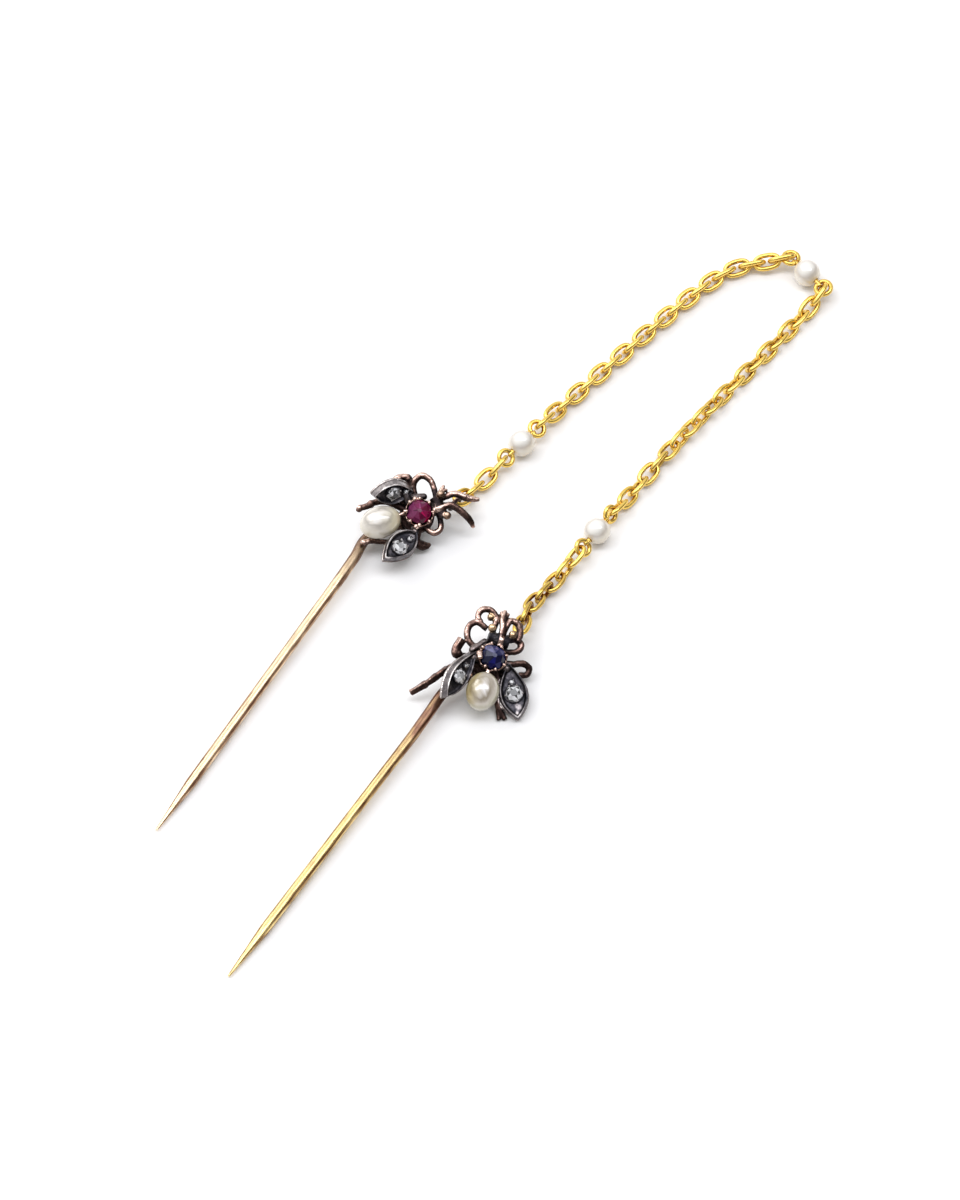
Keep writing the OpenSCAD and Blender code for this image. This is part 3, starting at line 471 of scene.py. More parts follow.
def loft(rings, closed=False):
    """Skin over closed rings of points, capped at both ends or joined end to end."""
    n = len(rings[0])
    m = len(rings)
    faces = []
    for i in range(m if closed else m - 1):
        j = (i + 1) % m
        faces += [(i * n + k, i * n + (k + 1) % n, j * n + (k + 1) % n, j * n + k) for k in range(n)]
    if not closed:
        faces.append(tuple(range(n - 1, -1, -1)))
        faces.append(tuple((m - 1) * n + k for k in range(n)))
    return np.concatenate(rings), faces


def rod(a, b, ra, rb=None, sides=28):
    """Round bar between two points."""
    rb = ra if rb is None else rb
    u, v = basis_for(np.subtract(b, a))
    angles = circle(sides)
    section = np.outer(np.cos(angles), u) + np.outer(np.sin(angles), v)
    return loft([np.add(a, ra * section), np.add(b, rb * section)])


def ball(at, r, stretch=(1, 1, 1), sides=24):
    """Closed ball or egg."""
    angles = circle(sides)
    pole = 0.02
    rings = []
    for t in np.linspace(pole, np.pi - pole, sides // 2):
        ring = np.stack([np.sin(t) * np.cos(angles), np.sin(t) * np.sin(angles), np.full(sides, -np.cos(t))],
                        axis=1)
        rings.append(ring * r * np.asarray(stretch) + np.asarray(at))
    return loft(rings)


def hoop(centre, u, v, radius, wire, steps=48, sides=14):
    """Closed ring of round wire in the plane of u and v."""
    normal = np.cross(u, v)
    b = circle(sides)
    rings = []
    for a in circle(steps):
        out = np.cos(a) * np.asarray(u) + np.sin(a) * np.asarray(v)
        rings.append(np.asarray(centre) + radius * out
                     + wire * (np.outer(np.cos(b), out) + np.outer(np.sin(b), normal)))
    return loft(rings, closed=True)


def gather(parts):
    """Several meshes as one."""
    points, faces, first = [], [], 0
    for p, f in parts:
        points.append(np.asarray(p, dtype=float))
        faces += [tuple(i + first for i in face) for face in f]
        first += len(p)
    return np.concatenate(points), faces


def new_object(name, points, faces, edges=()):
    """Mesh object from points in millimetres, with its faces turned outwards."""
    mesh = bpy.data.meshes.new(name)
    mesh.from_pydata([tuple(p) for p in points], [tuple(e) for e in edges], faces)
    if faces:
        work = bmesh.new()
        work.from_mesh(mesh)
        bmesh.ops.recalc_face_normals(work, faces=work.faces)
        work.to_mesh(mesh)
        work.free()
    obj = bpy.data.objects.new(name, mesh)
    bpy.context.scene.collection.objects.link(obj)
    return obj


def set_values(obj, name, values):
    """Writes one number per point as a named attribute, or the same number on every point."""
    attribute = obj.data.attributes.get(name) or obj.data.attributes.new(name, "FLOAT", "POINT")
    values = np.broadcast_to(np.asarray(values, dtype=np.float32), len(obj.data.vertices))
    attribute.data.foreach_set("value", np.ascontiguousarray(values))


def set_vectors(obj, name, vectors):
    """Writes one vector per point as a named attribute."""
    attribute = obj.data.attributes.new(name, "FLOAT_VECTOR", "POINT")
    attribute.data.foreach_set("vector", np.array(vectors, dtype=np.float32).ravel())


def get_points(obj):
    points = np.empty(len(obj.data.vertices) * 3)
    obj.data.vertices.foreach_get("co", points)
    return points.reshape(-1, 3)


def get_normals(obj):
    normals = np.empty(len(obj.data.vertices) * 3)
    obj.data.vertex_normals.foreach_get("vector", normals)
    return normals.reshape(-1, 3)


def put_points(obj, points):
    obj.data.vertices.foreach_set("co", np.asarray(points, dtype=np.float32).ravel())
    obj.data.update()


def settle(obj, name):
    """Applies every modifier of an object by making its shape a plain mesh, and drops the old object."""
    graph = bpy.context.evaluated_depsgraph_get()
    mesh = bpy.data.meshes.new_from_object(
        obj.evaluated_get(graph), preserve_all_data_layers=True, depsgraph=graph)
    old = obj.data
    obj.modifiers.clear()
    obj.data = mesh
    bpy.data.meshes.remove(old)
    mesh.name = name
    obj.name = name
    return obj


def finish_piece(obj, name, node, material=None, smooth_faces=True):
    """Brings a piece to metres about the middle of the pin and lets it stand for its CAD node."""
    # A hair inside the CAD model's box
    inside = 0.002 * MM
    points = (get_points(obj) - MIDDLE) * MM
    put_points(obj, np.clip(points, np.array(cad_bounds[0]) + inside, np.array(cad_bounds[1]) - inside))
    obj.data.polygons.foreach_set("use_smooth", [smooth_faces] * len(obj.data.polygons))
    if material:
        obj.data.materials.clear()
        obj.data.materials.append(material)
    obj.name = name
    obj.data.name = name
    obj.data.update()
    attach(obj, "root")
    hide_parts(node)


# Node trees


class Nodes:
    """Adds nodes to a tree and links them by socket name."""

    def __init__(self, tree):
        self.tree = tree

    def add(self, kind, sockets=None, **settings):
        node = self.tree.nodes.new(kind)
        for key, value in settings.items():
            setattr(node, key, value)
        for socket, source in (sockets or {}).items():
            target = node.inputs[socket]
            if isinstance(source, bpy.types.NodeSocket):
                self.tree.links.new(source, target)
            else:
                target.default_value = source
        return node

    def work_out(self, operation, *terms):
        """One step of arithmetic between sockets or numbers."""
        return self.add("ShaderNodeMath", dict(enumerate(terms)), operation=operation).outputs[0]

    def ramp(self, value, *stops):
        """Colour ramp from stops of place and linear colour."""
        node = self.add("ShaderNodeValToRGB", {"Fac": value})
        elements = node.color_ramp.elements
        while len(elements) < len(stops):
            elements.new(0.5)
        for element, (place, colour) in zip(elements, stops):
            element.position = place
            element.color = (*colour, 1.0)
        return node.outputs["Color"]


class Recipe(Nodes):
    """A Geometry Nodes tree with named inputs."""

    def __init__(self, name):
        super().__init__(bpy.data.node_groups.new(name, "GeometryNodeTree"))
        self.tree.interface.new_socket("Geometry", in_out="INPUT", socket_type="NodeSocketGeometry")
        self.tree.interface.new_socket("Geometry", in_out="OUTPUT", socket_type="NodeSocketGeometry")
        self.enter = self.add("NodeGroupInput")
        self.values = {}

    def ask(self, name, kind, value):
        socket = self.tree.interface.new_socket(name, in_out="INPUT", socket_type="NodeSocket" + kind)
        self.values[socket.identifier] = value
        return self.enter.outputs[name]

    def stored(self, name, kind="FLOAT"):
        """A named attribute of the points."""
        node = self.add("GeometryNodeInputNamedAttribute", {"Name": name}, data_type=kind)
        return node.outputs["Attribute"]

    def on_points(self, piece, **sockets):
        """One piece on every point, turned by "turn"."""
        rotation = self.add("FunctionNodeEulerToRotation", {0: self.stored("turn", "FLOAT_VECTOR")})
        return self.add("GeometryNodeInstanceOnPoints", {
            "Points": self.enter.outputs["Geometry"], "Instance": piece, "Rotation": rotation.outputs[0],
            **sockets}).outputs[0]

    def end(self, geometry, material):
        real = self.add("GeometryNodeRealizeInstances", {"Geometry": geometry})
        dressed = self.add("GeometryNodeSetMaterial", {"Geometry": real.outputs[0], "Material": material})
        self.add("NodeGroupOutput", {"Geometry": dressed.outputs[0]})

    def make(self, obj, name):
        """Runs the tree on an object and keeps the result as a plain mesh."""
        modifier = obj.modifiers.new(name, "NODES")
        modifier.node_group = self.tree
        for identifier, value in self.values.items():
            modifier[identifier] = value
        obj.update_tag()
        return settle(obj, name)


def wire_recipe(name, steps, sides, material):
    """Wire of changing thickness along polylines whose points carry their radius as "thick"."""
    recipe = Recipe(name)
    steps = recipe.ask("Steps", "Int", steps)
    sides = recipe.ask("Sides", "Int", sides)
    material = recipe.ask("Material", "Material", material)
    line = recipe.add("GeometryNodeMeshToCurve", {"Mesh": recipe.enter.outputs["Geometry"]})
    kind = recipe.add("GeometryNodeCurveSplineType", {"Curve": line.outputs[0]}, spline_type="CATMULL_ROM")
    fine = recipe.add("GeometryNodeSetSplineResolution", {"Geometry": kind.outputs[0], "Resolution": steps})
    place = recipe.add("GeometryNodeSplineParameter")
    marked = recipe.add("GeometryNodeStoreNamedAttribute", {
        "Geometry": fine.outputs[0], "Name": "run", "Value": place.outputs["Length"]},
        data_type="FLOAT", domain="POINT")
    section = recipe.add("GeometryNodeCurvePrimitiveCircle", {"Resolution": sides, "Radius": 1.0})
    tube = recipe.add("GeometryNodeCurveToMesh", {
        "Curve": marked.outputs[0], "Profile Curve": section.outputs[0],
        "Scale": recipe.stored("thick"), "Fill Caps": True})
    recipe.end(tube.outputs[0], material)
    return recipe


def wires(name, lines, steps, sides, material):
    """Wires along lines of x, y, z, radius. A line whose last point is its first is a closed hoop."""
    points, edges = [], []
    for line in lines:
        first = len(points)
        closed = np.allclose(line[0], line[-1])
        line = line[:-1] if closed else line
        points += [tuple(p) for p in line]
        edges += [(first + i, first + i + 1) for i in range(len(line) - 1)]
        if closed:
            edges.append((first + len(line) - 1, first))
    obj = new_object(name, [p[:3] for p in points], [], edges)
    set_values(obj, "thick", [p[3] for p in points])
    return wire_recipe(name, steps, sides, material).make(obj, name)


def link_recipe(settings, material):
    """One oval link of the chain on every point, turned by "turn"."""
    recipe = Recipe("Chain links")
    length = recipe.ask("Link Length", "Float", settings.link_length / MM)
    width = recipe.ask("Link Width", "Float", settings.link_width / MM)
    wire = recipe.ask("Wire", "Float", settings.link_wire / MM)
    square = recipe.ask("Squareness", "Float", LINK_SQUARENESS)
    material = recipe.ask("Material", "Material", material)
    work_out = recipe.work_out
    power = work_out("DIVIDE", 2.0, square)
    path = recipe.add("GeometryNodeCurvePrimitiveCircle", {"Resolution": 48, "Radius": 1.0})
    at = recipe.add("ShaderNodeSeparateXYZ", {0: recipe.add("GeometryNodeInputPosition").outputs[0]})

    def bulged(value, size):
        """One way across a rounded oblong whose outer size is given."""
        half = work_out("MULTIPLY", work_out("SUBTRACT", size, wire), 0.5)
        grown = work_out("POWER", work_out("ABSOLUTE", value), power)
        return work_out("MULTIPLY", work_out("MULTIPLY", work_out("SIGN", value), grown), half)

    oval = recipe.add("ShaderNodeCombineXYZ", {
        "X": bulged(at.outputs["X"], length), "Y": bulged(at.outputs["Y"], width)})
    shaped = recipe.add("GeometryNodeSetPosition", {"Geometry": path.outputs[0], "Position": oval.outputs[0]})
    # Solder joint: the wire swells a little in the middle of one long side
    joint, joint_steepness, joint_swell = 0.26, 22.0, 0.07
    factor = recipe.add("GeometryNodeSplineParameter").outputs["Factor"]
    away = work_out("ABSOLUTE", work_out("SUBTRACT", factor, joint))
    swell = work_out("MAXIMUM", work_out("SUBTRACT", 1.0, work_out("MULTIPLY", away, joint_steepness)), 0.0)
    radius = work_out("MULTIPLY", work_out("MULTIPLY", wire, 0.5),
                      work_out("ADD", 1.0, work_out("MULTIPLY", swell, joint_swell)))
    section = recipe.add("GeometryNodeCurvePrimitiveCircle", {"Resolution": 16, "Radius": 1.0})
    tube = recipe.add("GeometryNodeCurveToMesh", {
        "Curve": shaped.outputs[0], "Profile Curve": section.outputs[0], "Scale": radius})
    recipe.end(recipe.on_points(tube.outputs[0]), material)
    return recipe


def bead_recipe(name, radius, material):
    """A small bead on every point, stretched by "stretch" and turned by "turn"."""
    recipe = Recipe(name)
    radius = recipe.ask("Radius", "Float", radius)
    material = recipe.ask("Material", "Material", material)
    bead = recipe.add("GeometryNodeMeshUVSphere", {"Segments": 14, "Rings": 9, "Radius": radius})
    recipe.end(recipe.on_points(bead.outputs[0], Scale=recipe.stored("stretch", "FLOAT_VECTOR")), material)
    return recipe


def hammer_recipe(strength, scale, seed, material):
    """Uneven, worked surface: every point moves a little along its normal."""
    recipe = Recipe("Worked surface")
    strength = recipe.ask("Strength", "Float", strength)
    scale = recipe.ask("Scale", "Float", scale)
    seed = recipe.ask("Seed", "Float", seed)
    material = recipe.ask("Material", "Material", material)
    place = recipe.add("ShaderNodeVectorMath", {
        0: recipe.add("GeometryNodeInputPosition").outputs[0],
        1: recipe.add("ShaderNodeCombineXYZ", {"X": seed, "Y": seed, "Z": seed}).outputs[0]}, operation="ADD")
    noise = recipe.add("ShaderNodeTexNoise", {"Vector": place.outputs[0], "Scale": scale, "Detail": 3.0,
                                              "Roughness": 0.55}, noise_dimensions="3D")
    amount = recipe.work_out("MULTIPLY", recipe.work_out("SUBTRACT", noise.outputs["Fac"], 0.5), strength)
    shift = recipe.add("ShaderNodeVectorMath", {
        0: recipe.add("GeometryNodeInputNormal").outputs[0], "Scale": amount}, operation="SCALE")
    moved = recipe.add("GeometryNodeSetPosition", {
        "Geometry": recipe.enter.outputs["Geometry"], "Offset": shift.outputs[0]})
    recipe.end(moved.outputs[0], material)
    return recipe


# Most of a noise lies between these values
NOISE_LOW = 0.3
NOISE_HIGH = 0.7


class Finish(Nodes):
    """A Principled material with its own small node tree."""

    def __init__(self, name, **values):
        self.material = bpy.data.materials.new(name)
        self.material.use_nodes = True
        super().__init__(self.material.node_tree)
        self.shader = self.tree.nodes["Principled BSDF"]
        for socket, value in values.items():
            self.shader.inputs[socket.replace("_", " ")].default_value = value

    def on(self, scale=(1, 1, 1), turn=(0, 0, 0)):
        """Object coordinates in millimetres, turned by degrees and then scaled."""
        coordinates = self.add("ShaderNodeTexCoord")
        turned = self.add("ShaderNodeMapping", {
            "Vector": coordinates.outputs["Object"], "Rotation": [math.radians(a) for a in turn],
            "Scale": (1 / MM, 1 / MM, 1 / MM)})
        return self.add("ShaderNodeMapping", {"Vector": turned.outputs[0], "Scale": scale}).outputs[0]

    def noise(self, vector, scale=1.0, detail=2.0, roughness=0.5):
        return self.add("ShaderNodeTexNoise", {
            "Vector": vector, "Scale": scale, "Detail": detail, "Roughness": roughness}).outputs["Fac"]

    def value(self, name, output="Fac"):
        """A named attribute of the piece, as a number or as another output of its node."""
        return self.add("ShaderNodeAttribute", attribute_name=name, attribute_type="GEOMETRY").outputs[output]

    def spread(self, value, low, high, out_low=0.0, out_high=1.0):
        """A value brought from one range to another."""
        node = self.add("ShaderNodeMapRange", {
            "Value": value, "From Min": low, "From Max": high, "To Min": out_low, "To Max": out_high})
        return node.outputs[0]

    def vary(self, value, noise, least, most, low=NOISE_LOW, high=NOISE_HIGH):
        """A value to which a noise adds between the least and the most."""
        return self.work_out("ADD", value, self.spread(noise, low, high, least, most))

    def times(self, a, b):
        """One colour multiplied by another."""
        return self.blend(1.0, a, b, "MULTIPLY")

    def blend(self, factor, a, b, kind="MIX"):
        node = self.add("ShaderNodeMix", data_type="RGBA", blend_type=kind)
        for socket, source in (("Factor_Float", factor), ("A_Color", a), ("B_Color", b)):
            target = next(s for s in node.inputs if s.identifier == socket)
            if isinstance(source, bpy.types.NodeSocket):
                self.tree.links.new(source, target)
            else:
                target.default_value = source
        return next(s for s in node.outputs if s.identifier == "Result_Color")

    def set(self, socket, source):
        self.tree.links.new(source, self.shader.inputs[socket])

    def bump(self, height, distance, strength=1.0):
        node = self.add("ShaderNodeBump", {"Height": height, "Distance": distance * MM, "Strength": strength})
        self.set("Normal", node.outputs[0])


# Metals


def chain_gold(settings):
    """Bright yellow gold with painted shade on the inside and sides of each link, browner where "tone" is
    low.
    """
    made = Finish("Chain gold", Metallic=1.0, Roughness=0.22)
    spots = made.noise(made.on(), 0.9, 2)
    tone = made.vary(made.value("tone"), spots, -0.12, 0.12)
    # Painted shade on the inside and on the sides of each link
    tone = made.work_out("SUBTRACT", tone, made.work_out("MULTIPLY", made.value("inner"), 0.42))
    old, gold = settings.old_gold_and_shade, settings.gold
    light = tuple(min(1, g * 1.06 + 0.02) for g in gold)
    colour = made.ramp(tone, (0.0, old), (0.42, mix(old, gold, 0.3)), (0.75, gold), (1.0, light))
    made.set("Base Color", colour)
    made.set("Roughness", made.spread(spots, NOISE_LOW, NOISE_HIGH, 0.17, 0.28))
    return made.material


def inside_of_rings(obj, centres):
    """How much painted shade each point gets: most where it faces the middle of its own ring, and a little on
    its sides.
    """
    normals = get_normals(obj)
    outward = get_points(obj) - centres
    outward /= np.maximum(np.linalg.norm(outward, axis=1), 1e-6)[:, None]
    inward = np.clip(0.2 - np.einsum("ij,ij->i", normals, outward), 0, 1)
    sideways = np.clip(0.85 - normals[:, 2], 0, 1)
    return np.clip(inward + 0.36 * sideways, 0, 1)


def stem_gold(name, gold, head, head_length, turn):
    """Drawn gold wire with lengthwise scratches, a little tarnish, painted shade in bands along its sides and
    brown near the fly.
    """
    made = Finish(name, Metallic=1.0, Roughness=0.3)
    grain = made.noise(made.on((0.14, 4.5, 4.5), (0, 0, turn)), 1.0, 4, 0.62)
    clouds = made.noise(made.on((0.45, 1.4, 1.4), (0, 0, turn)), 1.0, 3)
    worn = made.vary(made.spread(made.value("run"), 0.0, head_length), clouds, -0.22, 0.22)
    along = made.ramp(worn, (0.0, shade(head, 0.45)), (0.36, head), (0.8, mix(head, gold, 0.35)), (1.0, gold))
    # Painted shade: the dark bands along the sides of the stem come in here, with a little tarnish all over
    clean_and_lit = made.work_out("SUBTRACT", 1.0, made.value("tarnish_and_shade"))
    clean_and_lit = made.vary(clean_and_lit, grain, -0.42, 0.34, 0.32, 0.68)
    clean_and_lit = made.vary(clean_and_lit, clouds, -0.18, 0.18)
    shade_and_tarnish_colour = made.ramp(clean_and_lit, (0.0, (0.26, 0.165, 0.135)), (0.3, (0.52, 0.42, 0.39)), (0.6, (1, 1, 1)))
    made.set("Base Color", made.times(along, shade_and_tarnish_colour))
    made.set("Roughness", made.spread(clean_and_lit, 0.0, 1.0, 0.5, 0.26))
    made.bump(grain, 0.03, 0.8)
    return made.material


def rose_gold(settings):
    """Worn rose gold with dark patina and painted shade and highlight, greyer on the backs of the wings and
    yellower on the balls.
    """
    made = Finish("Rose gold", Metallic=1.0, Roughness=0.3)
    patches = made.noise(made.on(), 0.45, 2)
    clouds = made.noise(made.on(), 1.3, 4, 0.6)
    fine = made.noise(made.on(), 6.0, 3, 0.6)
    # Painted highlight and shade of the frames come in with the patina
    wear_and_light = made.work_out("SUBTRACT", 1.0, made.value("patina_and_shade"))
    wear_and_light = made.vary(wear_and_light, patches, -0.14, 0.12, 0.35, 0.65)
    wear_and_light = made.vary(wear_and_light, clouds, -0.2, 0.16)
    wear_and_light = made.vary(wear_and_light, fine, -0.14, 0.1)
    gold = settings.rose_gold
    dark = settings.patina_and_shade
    brown = np.add(shade(dark, 0.85), shade(tint(gold, (0.95, 0.8, 0.76)), 0.13))
    copper = tint(gold, (0.32, 0.26, 0.25))
    rosy = made.ramp(wear_and_light, (0.0, dark), (0.38, brown), (0.60, copper), (0.82, shade(gold, 0.82)), (1.0, gold))
    balls = made.ramp(wear_and_light, (0.0, dark), (0.4, shade(settings.ball_gold, 0.35)), (0.8, settings.ball_gold))
    greys = made.ramp(wear_and_light, (0.0, settings.oxide), (0.35, (0.10, 0.09, 0.092)), (0.65, (0.25, 0.22, 0.215)),
                      (1.0, shade(settings.silver, 0.75)))
    metal = made.blend(made.value("ball"), rosy, balls)
    made.set("Base Color", made.blend(made.value("grey"), metal, greys))
    made.set("Roughness", made.spread(wear_and_light, 0.0, 1.0, 0.48, 0.17))
    made.bump(fine, 0.03, 0.7)
    return made.material


def wing_silver(settings):
    """Silver with black oxide on its floor and a bright rim, worn and with a painted highlight."""
    made = Finish("Wing silver", Metallic=1.0, Roughness=0.3)
    clouds = made.noise(made.on(), 1.6, 3)
    fine = made.noise(made.on(), 5.0, 3, 0.6)
    light = made.vary(made.value("bright"), clouds, -0.16, 0.16)
    light = made.vary(light, fine, -0.12, 0.12)
    made.set("Base Color", made.ramp(
        light, (0.0, settings.oxide), (0.25, (0.07, 0.065, 0.073)), (0.5, (0.20, 0.18, 0.185)),
        (0.75, (0.42, 0.385, 0.38)), (1.0, settings.silver)))
    made.set("Roughness", made.spread(light, 0.0, 1.0, 0.4, 0.3))
    made.bump(fine, 0.03, 0.6)
    return made.material


# Pearls and stones


def nacre(name, colour, zones, turn, reflection_tint):
    """Pearl with a glossy skin: painted highlight, shade and reflection in zones by "side", and a painted
    reflection tint where "lean" is high.
    """
    made = Finish(name, Roughness=0.32, Specular_IOR_Level=0.55, Coat_Weight=1.0, Coat_Roughness=0.13,
                  Coat_IOR=1.9)
    clouds = made.noise(made.on((0.6, 0.6, 0.6), turn), 1.0, 2)
    rings = made.noise(made.on((2.0, 0.45, 0.45), turn), 1.0, 2)
    side = made.vary(made.value("side"), clouds, -0.07, 0.07)
    side = made.vary(side, rings, -0.05, 0.05)
    # Painted highlight, shade bands and reflections in zones, and a painted reflection tint on one side
    body = made.ramp(side, *[(place, tint(colour, share)) for place, share in zones])
    leaning = made.vary(made.value("lean"), clouds, -0.12, 0.12)
    reflection = made.ramp(made.spread(leaning, 0.3, 0.75), (0, (1, 1, 1)), (1, reflection_tint))
    made.set("Base Color", made.times(body, reflection))
    made.bump(made.noise(made.on(), 1.0, 1), 0.02, 0.25)
    return made.material


def mark_sides(obj, reflection):
    """Writes how far each point of a pearl faces away from its painted highlight, and how far towards its
    painted reflection.
    """
    normals = get_normals(obj)
    # Way that the painted highlight faces
    highlight_direction = unit((-0.25, -0.1, 0.96))
    set_values(obj, "side", 1 - np.clip(normals @ highlight_direction, 0, 1))
    set_values(obj, "lean", np.clip(normals @ unit(reflection), 0, 1))


def stone_finish(name, ior, shine):
    """Cut stone whose facets carry their own colour, with painted light and reflection in it."""
    made = Finish(name, Roughness=0.1, IOR=ior, Specular_IOR_Level=shine)
    grain = made.noise(made.on(), 2.2, 3)
    flaws = made.ramp(made.spread(grain, NOISE_LOW, NOISE_HIGH), (0, (0.72, 0.72, 0.72)), (1, (1, 1, 1)))
    made.set("Base Color", made.times(made.value("facet", "Color"), flaws))
    return made.material


def floor_finish(settings):
    """Matt white sheet."""
    made = Finish("Floor sheet", Roughness=0.7, Specular_IOR_Level=0.2)
    cloud = made.noise(made.on((0.01, 0.01, 0.01)), 1.0, 1)
    made.set("Base Color", made.ramp(
        cloud, (NOISE_LOW, shade(settings.floor, 0.99)), (NOISE_HIGH, settings.floor)))
    return made.material


# Chain


def link_places(length, settings):
    """Middle, direction and roll of each link on one length of chain."""
    points = smooth(length.line, 60)
    s = runs(points)
    linked = s[-1] - length.lead - length.tail
    t = np.arange(length.links) / (length.links - 1)
    # The two ends of the line stand as a place before the first link and one after the last
    at = np.concatenate([[0.0], length.lead + t * linked + 4 * length.slack * t * (1 - t), [s[-1]]])
    wire = settings.link_wire / MM
    half_width = (settings.link_width / MM - wire) / 2
    twists = np.interp(np.arange(len(at)), *zip(*length.twist))
    middles = np.stack([np.interp(at, s, points[:, k]) for k in range(3)], axis=1)
    clear = 0.02
    for middle, twist in zip(middles, twists):
        a = length.roll + twist
        middle[2] += wire / 2 + clear + half_width * max(abs(sin_deg(a)), abs(cos_deg(a)))
    return [(middles[i], unit(middles[i + 1] - middles[i - 1]), length.roll + 90 * (i - 1) + twists[i])
            for i in range(1, length.links + 1)]


def link_turn(along, roll):
    """Rotation that lays a link along a direction with its face turned by roll."""
    right = unit(np.cross(along, UP))
    face = cos_deg(roll) * unit(np.cross(right, along)) + sin_deg(roll) * right
    across = np.cross(face, along)
    return Matrix(np.stack([along, across, face], axis=1).tolist()).to_euler("XYZ")


class STICKPIN_OT_chain(bpy.types.Operator):
    """Make the four lengths of chain that join the flies and the pearls"""

    bl_idname = "stickpin.chain"
    bl_label = "Chain"

    def execute(self, context):
        settings = context.scene.stickpin_chain
        chance = np.random.default_rng(11)
        points, turns, tones, hollows = [], [], [], []
        for length in CHAIN:
            is_last = length is CHAIN[-1]
            for i, (middle, along, roll) in enumerate(link_places(length, settings)):
                points.append(middle)
                turns.append(link_turn(along, roll))
                tones.append((LAST_TONES[i] if is_last else LINK_TONE) + chance.uniform(-0.1, 0.12))
                hollows.append(LAST_HOLLOWS[i] if is_last else LINK_HOLLOW)
        obj = new_object("chain links", points, [])
        set_vectors(obj, "turn", turns)
        set_values(obj, "tone", tones)
        obj = link_recipe(settings, chain_gold(settings)).make(obj, "chain_links")
        # The tree makes the links one after another, in the order of their places
        each = get_points(obj).reshape(len(points), -1, 3)
        size = each.shape[1]
        painted_shade = inside_of_rings(obj, np.repeat(each.mean(axis=1), size, axis=0))
        set_values(obj, "inner", painted_shade * np.repeat(hollows, size))
        finish_piece(obj, "chain_links", "chain")
        return {"FINISHED"}


def on_chain(pearl, points, radius):
    """From a chain pearl's own frame, with X along its wire, to the pin's."""
    c, s = cos_deg(pearl.heading), sin_deg(pearl.heading)
    p = np.asarray(points, dtype=float)
    return np.stack([pearl.x + c * p[:, 0] - s * p[:, 1], pearl.y + s * p[:, 0] + c * p[:, 1],
                     radius + p[:, 2]], axis=1)


def drilled_ball(radius, hole):
    """Ball with a hole through it along X and softened edges."""
    sides = 64
    start = math.asin((hole + 0.06) / radius)
    arc = np.linspace(start, np.pi - start, 44)
    edge = radius * math.cos(start) - 0.05
    profile = [(-edge, hole)] + [(-radius * math.cos(a), radius * math.sin(a)) for a in arc] + [(edge, hole)]
    angles = circle(sides)
    rings = [np.stack([np.full(sides, x), r * np.cos(angles), r * np.sin(angles)], axis=1)
             for x, r in profile]
    return loft(rings, closed=True)


def eye_line(pearl, ring):
    """Wire through a chain pearl in the pearl's own frame, with an open loop of radius ring at each end."""
    line = []
    for end, roll, angles in ((-1, pearl.first_roll, range(345, -1, -15)),
                              (1, pearl.last_roll, range(0, 346, 15))):
        along = np.array([1, 0, 0])
        side = np.array([0, cos_deg(roll), sin_deg(roll)])
        line += [end * pearl.reach * along - ring * (end * cos_deg(a) * along + sin_deg(a) * side)
                 for a in angles]
    return line


class STICKPIN_OT_chain_pearls(bpy.types.Operator):
    """Make the three pearls on the chain and the looped wires through them"""

    bl_idname = "stickpin.chain_pearls"
    bl_label = "Chain Pearls"

    def execute(self, context):
        settings = context.scene.stickpin_chain
        radius = settings.pearl / MM / 2
        wire = settings.loop_wire / MM / 2
        ring = settings.loop / MM / 2 - wire
        play = 0.05
        gold = chain_gold(settings)
        skin = nacre("Chain pearl", settings.nacre, PEARL_ZONES["chain"], turn=(20, 50, 10),
                     reflection_tint=(0.96, 0.93, 0.86))
        chance = np.random.default_rng(5)
        for number, pearl in enumerate(CHAIN_PEARLS, 1):
            points, faces = drilled_ball(radius, wire + play)
            # Natural pearls aren't quite round
            lean = unit(chance.normal(size=3))
            points = points * (1 - 0.035 * (points @ lean / radius)[:, None] ** 2)
            points[:, 2] = np.maximum(points[:, 2], -radius)
            obj = new_object("chain_pearl", on_chain(pearl, points, radius), faces)
            mark_sides(obj, (0.1, -0.9, -0.2))
            finish_piece(obj, f"chain_pearl_skin_{number}", f"chain_pearl_{number}", skin)

            line = on_chain(pearl, eye_line(pearl, ring), radius)
            obj = wires("eye wire", [[(*p, wire) for p in line]], steps=4, sides=14, material=gold)
            set_values(obj, "tone", EYE_WIRE_TONE)
            middles = on_chain(pearl, [(-pearl.reach, 0, 0), (pearl.reach, 0, 0)], radius)
            nearer = np.linalg.norm(get_points(obj)[:, None] - middles[None], axis=2).argmin(axis=1)
            set_values(obj, "inner", inside_of_rings(obj, middles[nearer]))
            finish_piece(obj, f"eye_wire_{number}", f"chain_eye_wire_{number}")
        return {"FINISHED"}


# Stems

# How much thicker a stem is at its bend than along its run
BEND_SWELL = 1.03
# Painted shade and dark reflection in lengthwise bands on the sides of each stem: a mauve one on the far
# side, a thin dark one and a wide faint one on the near side. Columns: direction, narrowness, strength
PAINTED_SHADE_BANDS = [((0, 0.74, 0.67), 0.885, 0.62), ((0, -0.82, 0.57), 0.93, 0.7), ((0, -1.0, 0.08), 0.55, 0.45)]
TARNISH_ALL_OVER = 0.1


def stem_line(stem, radius, taper, tip):
    """Points along a stem with its radius there: the bend, the straight run and the taper."""
    start, stop = np.array(stem["run"])
    along = unit(stop - start)
    total = np.linalg.norm(stop - start)
    line = [(*p, radius * BEND_SWELL) for p in smooth(stem["bend"], 20)[:-1]]
    for s in np.linspace(0, total - taper, 12):
        line.append((*(start + s * along), radius * (BEND_SWELL if s == 0 else 1.0)))
    for s in np.linspace(total - taper, total, 9)[1:]:
        line.append((*(start + s * along), radius + (tip - radius) * (s - total + taper) / taper))
    return line


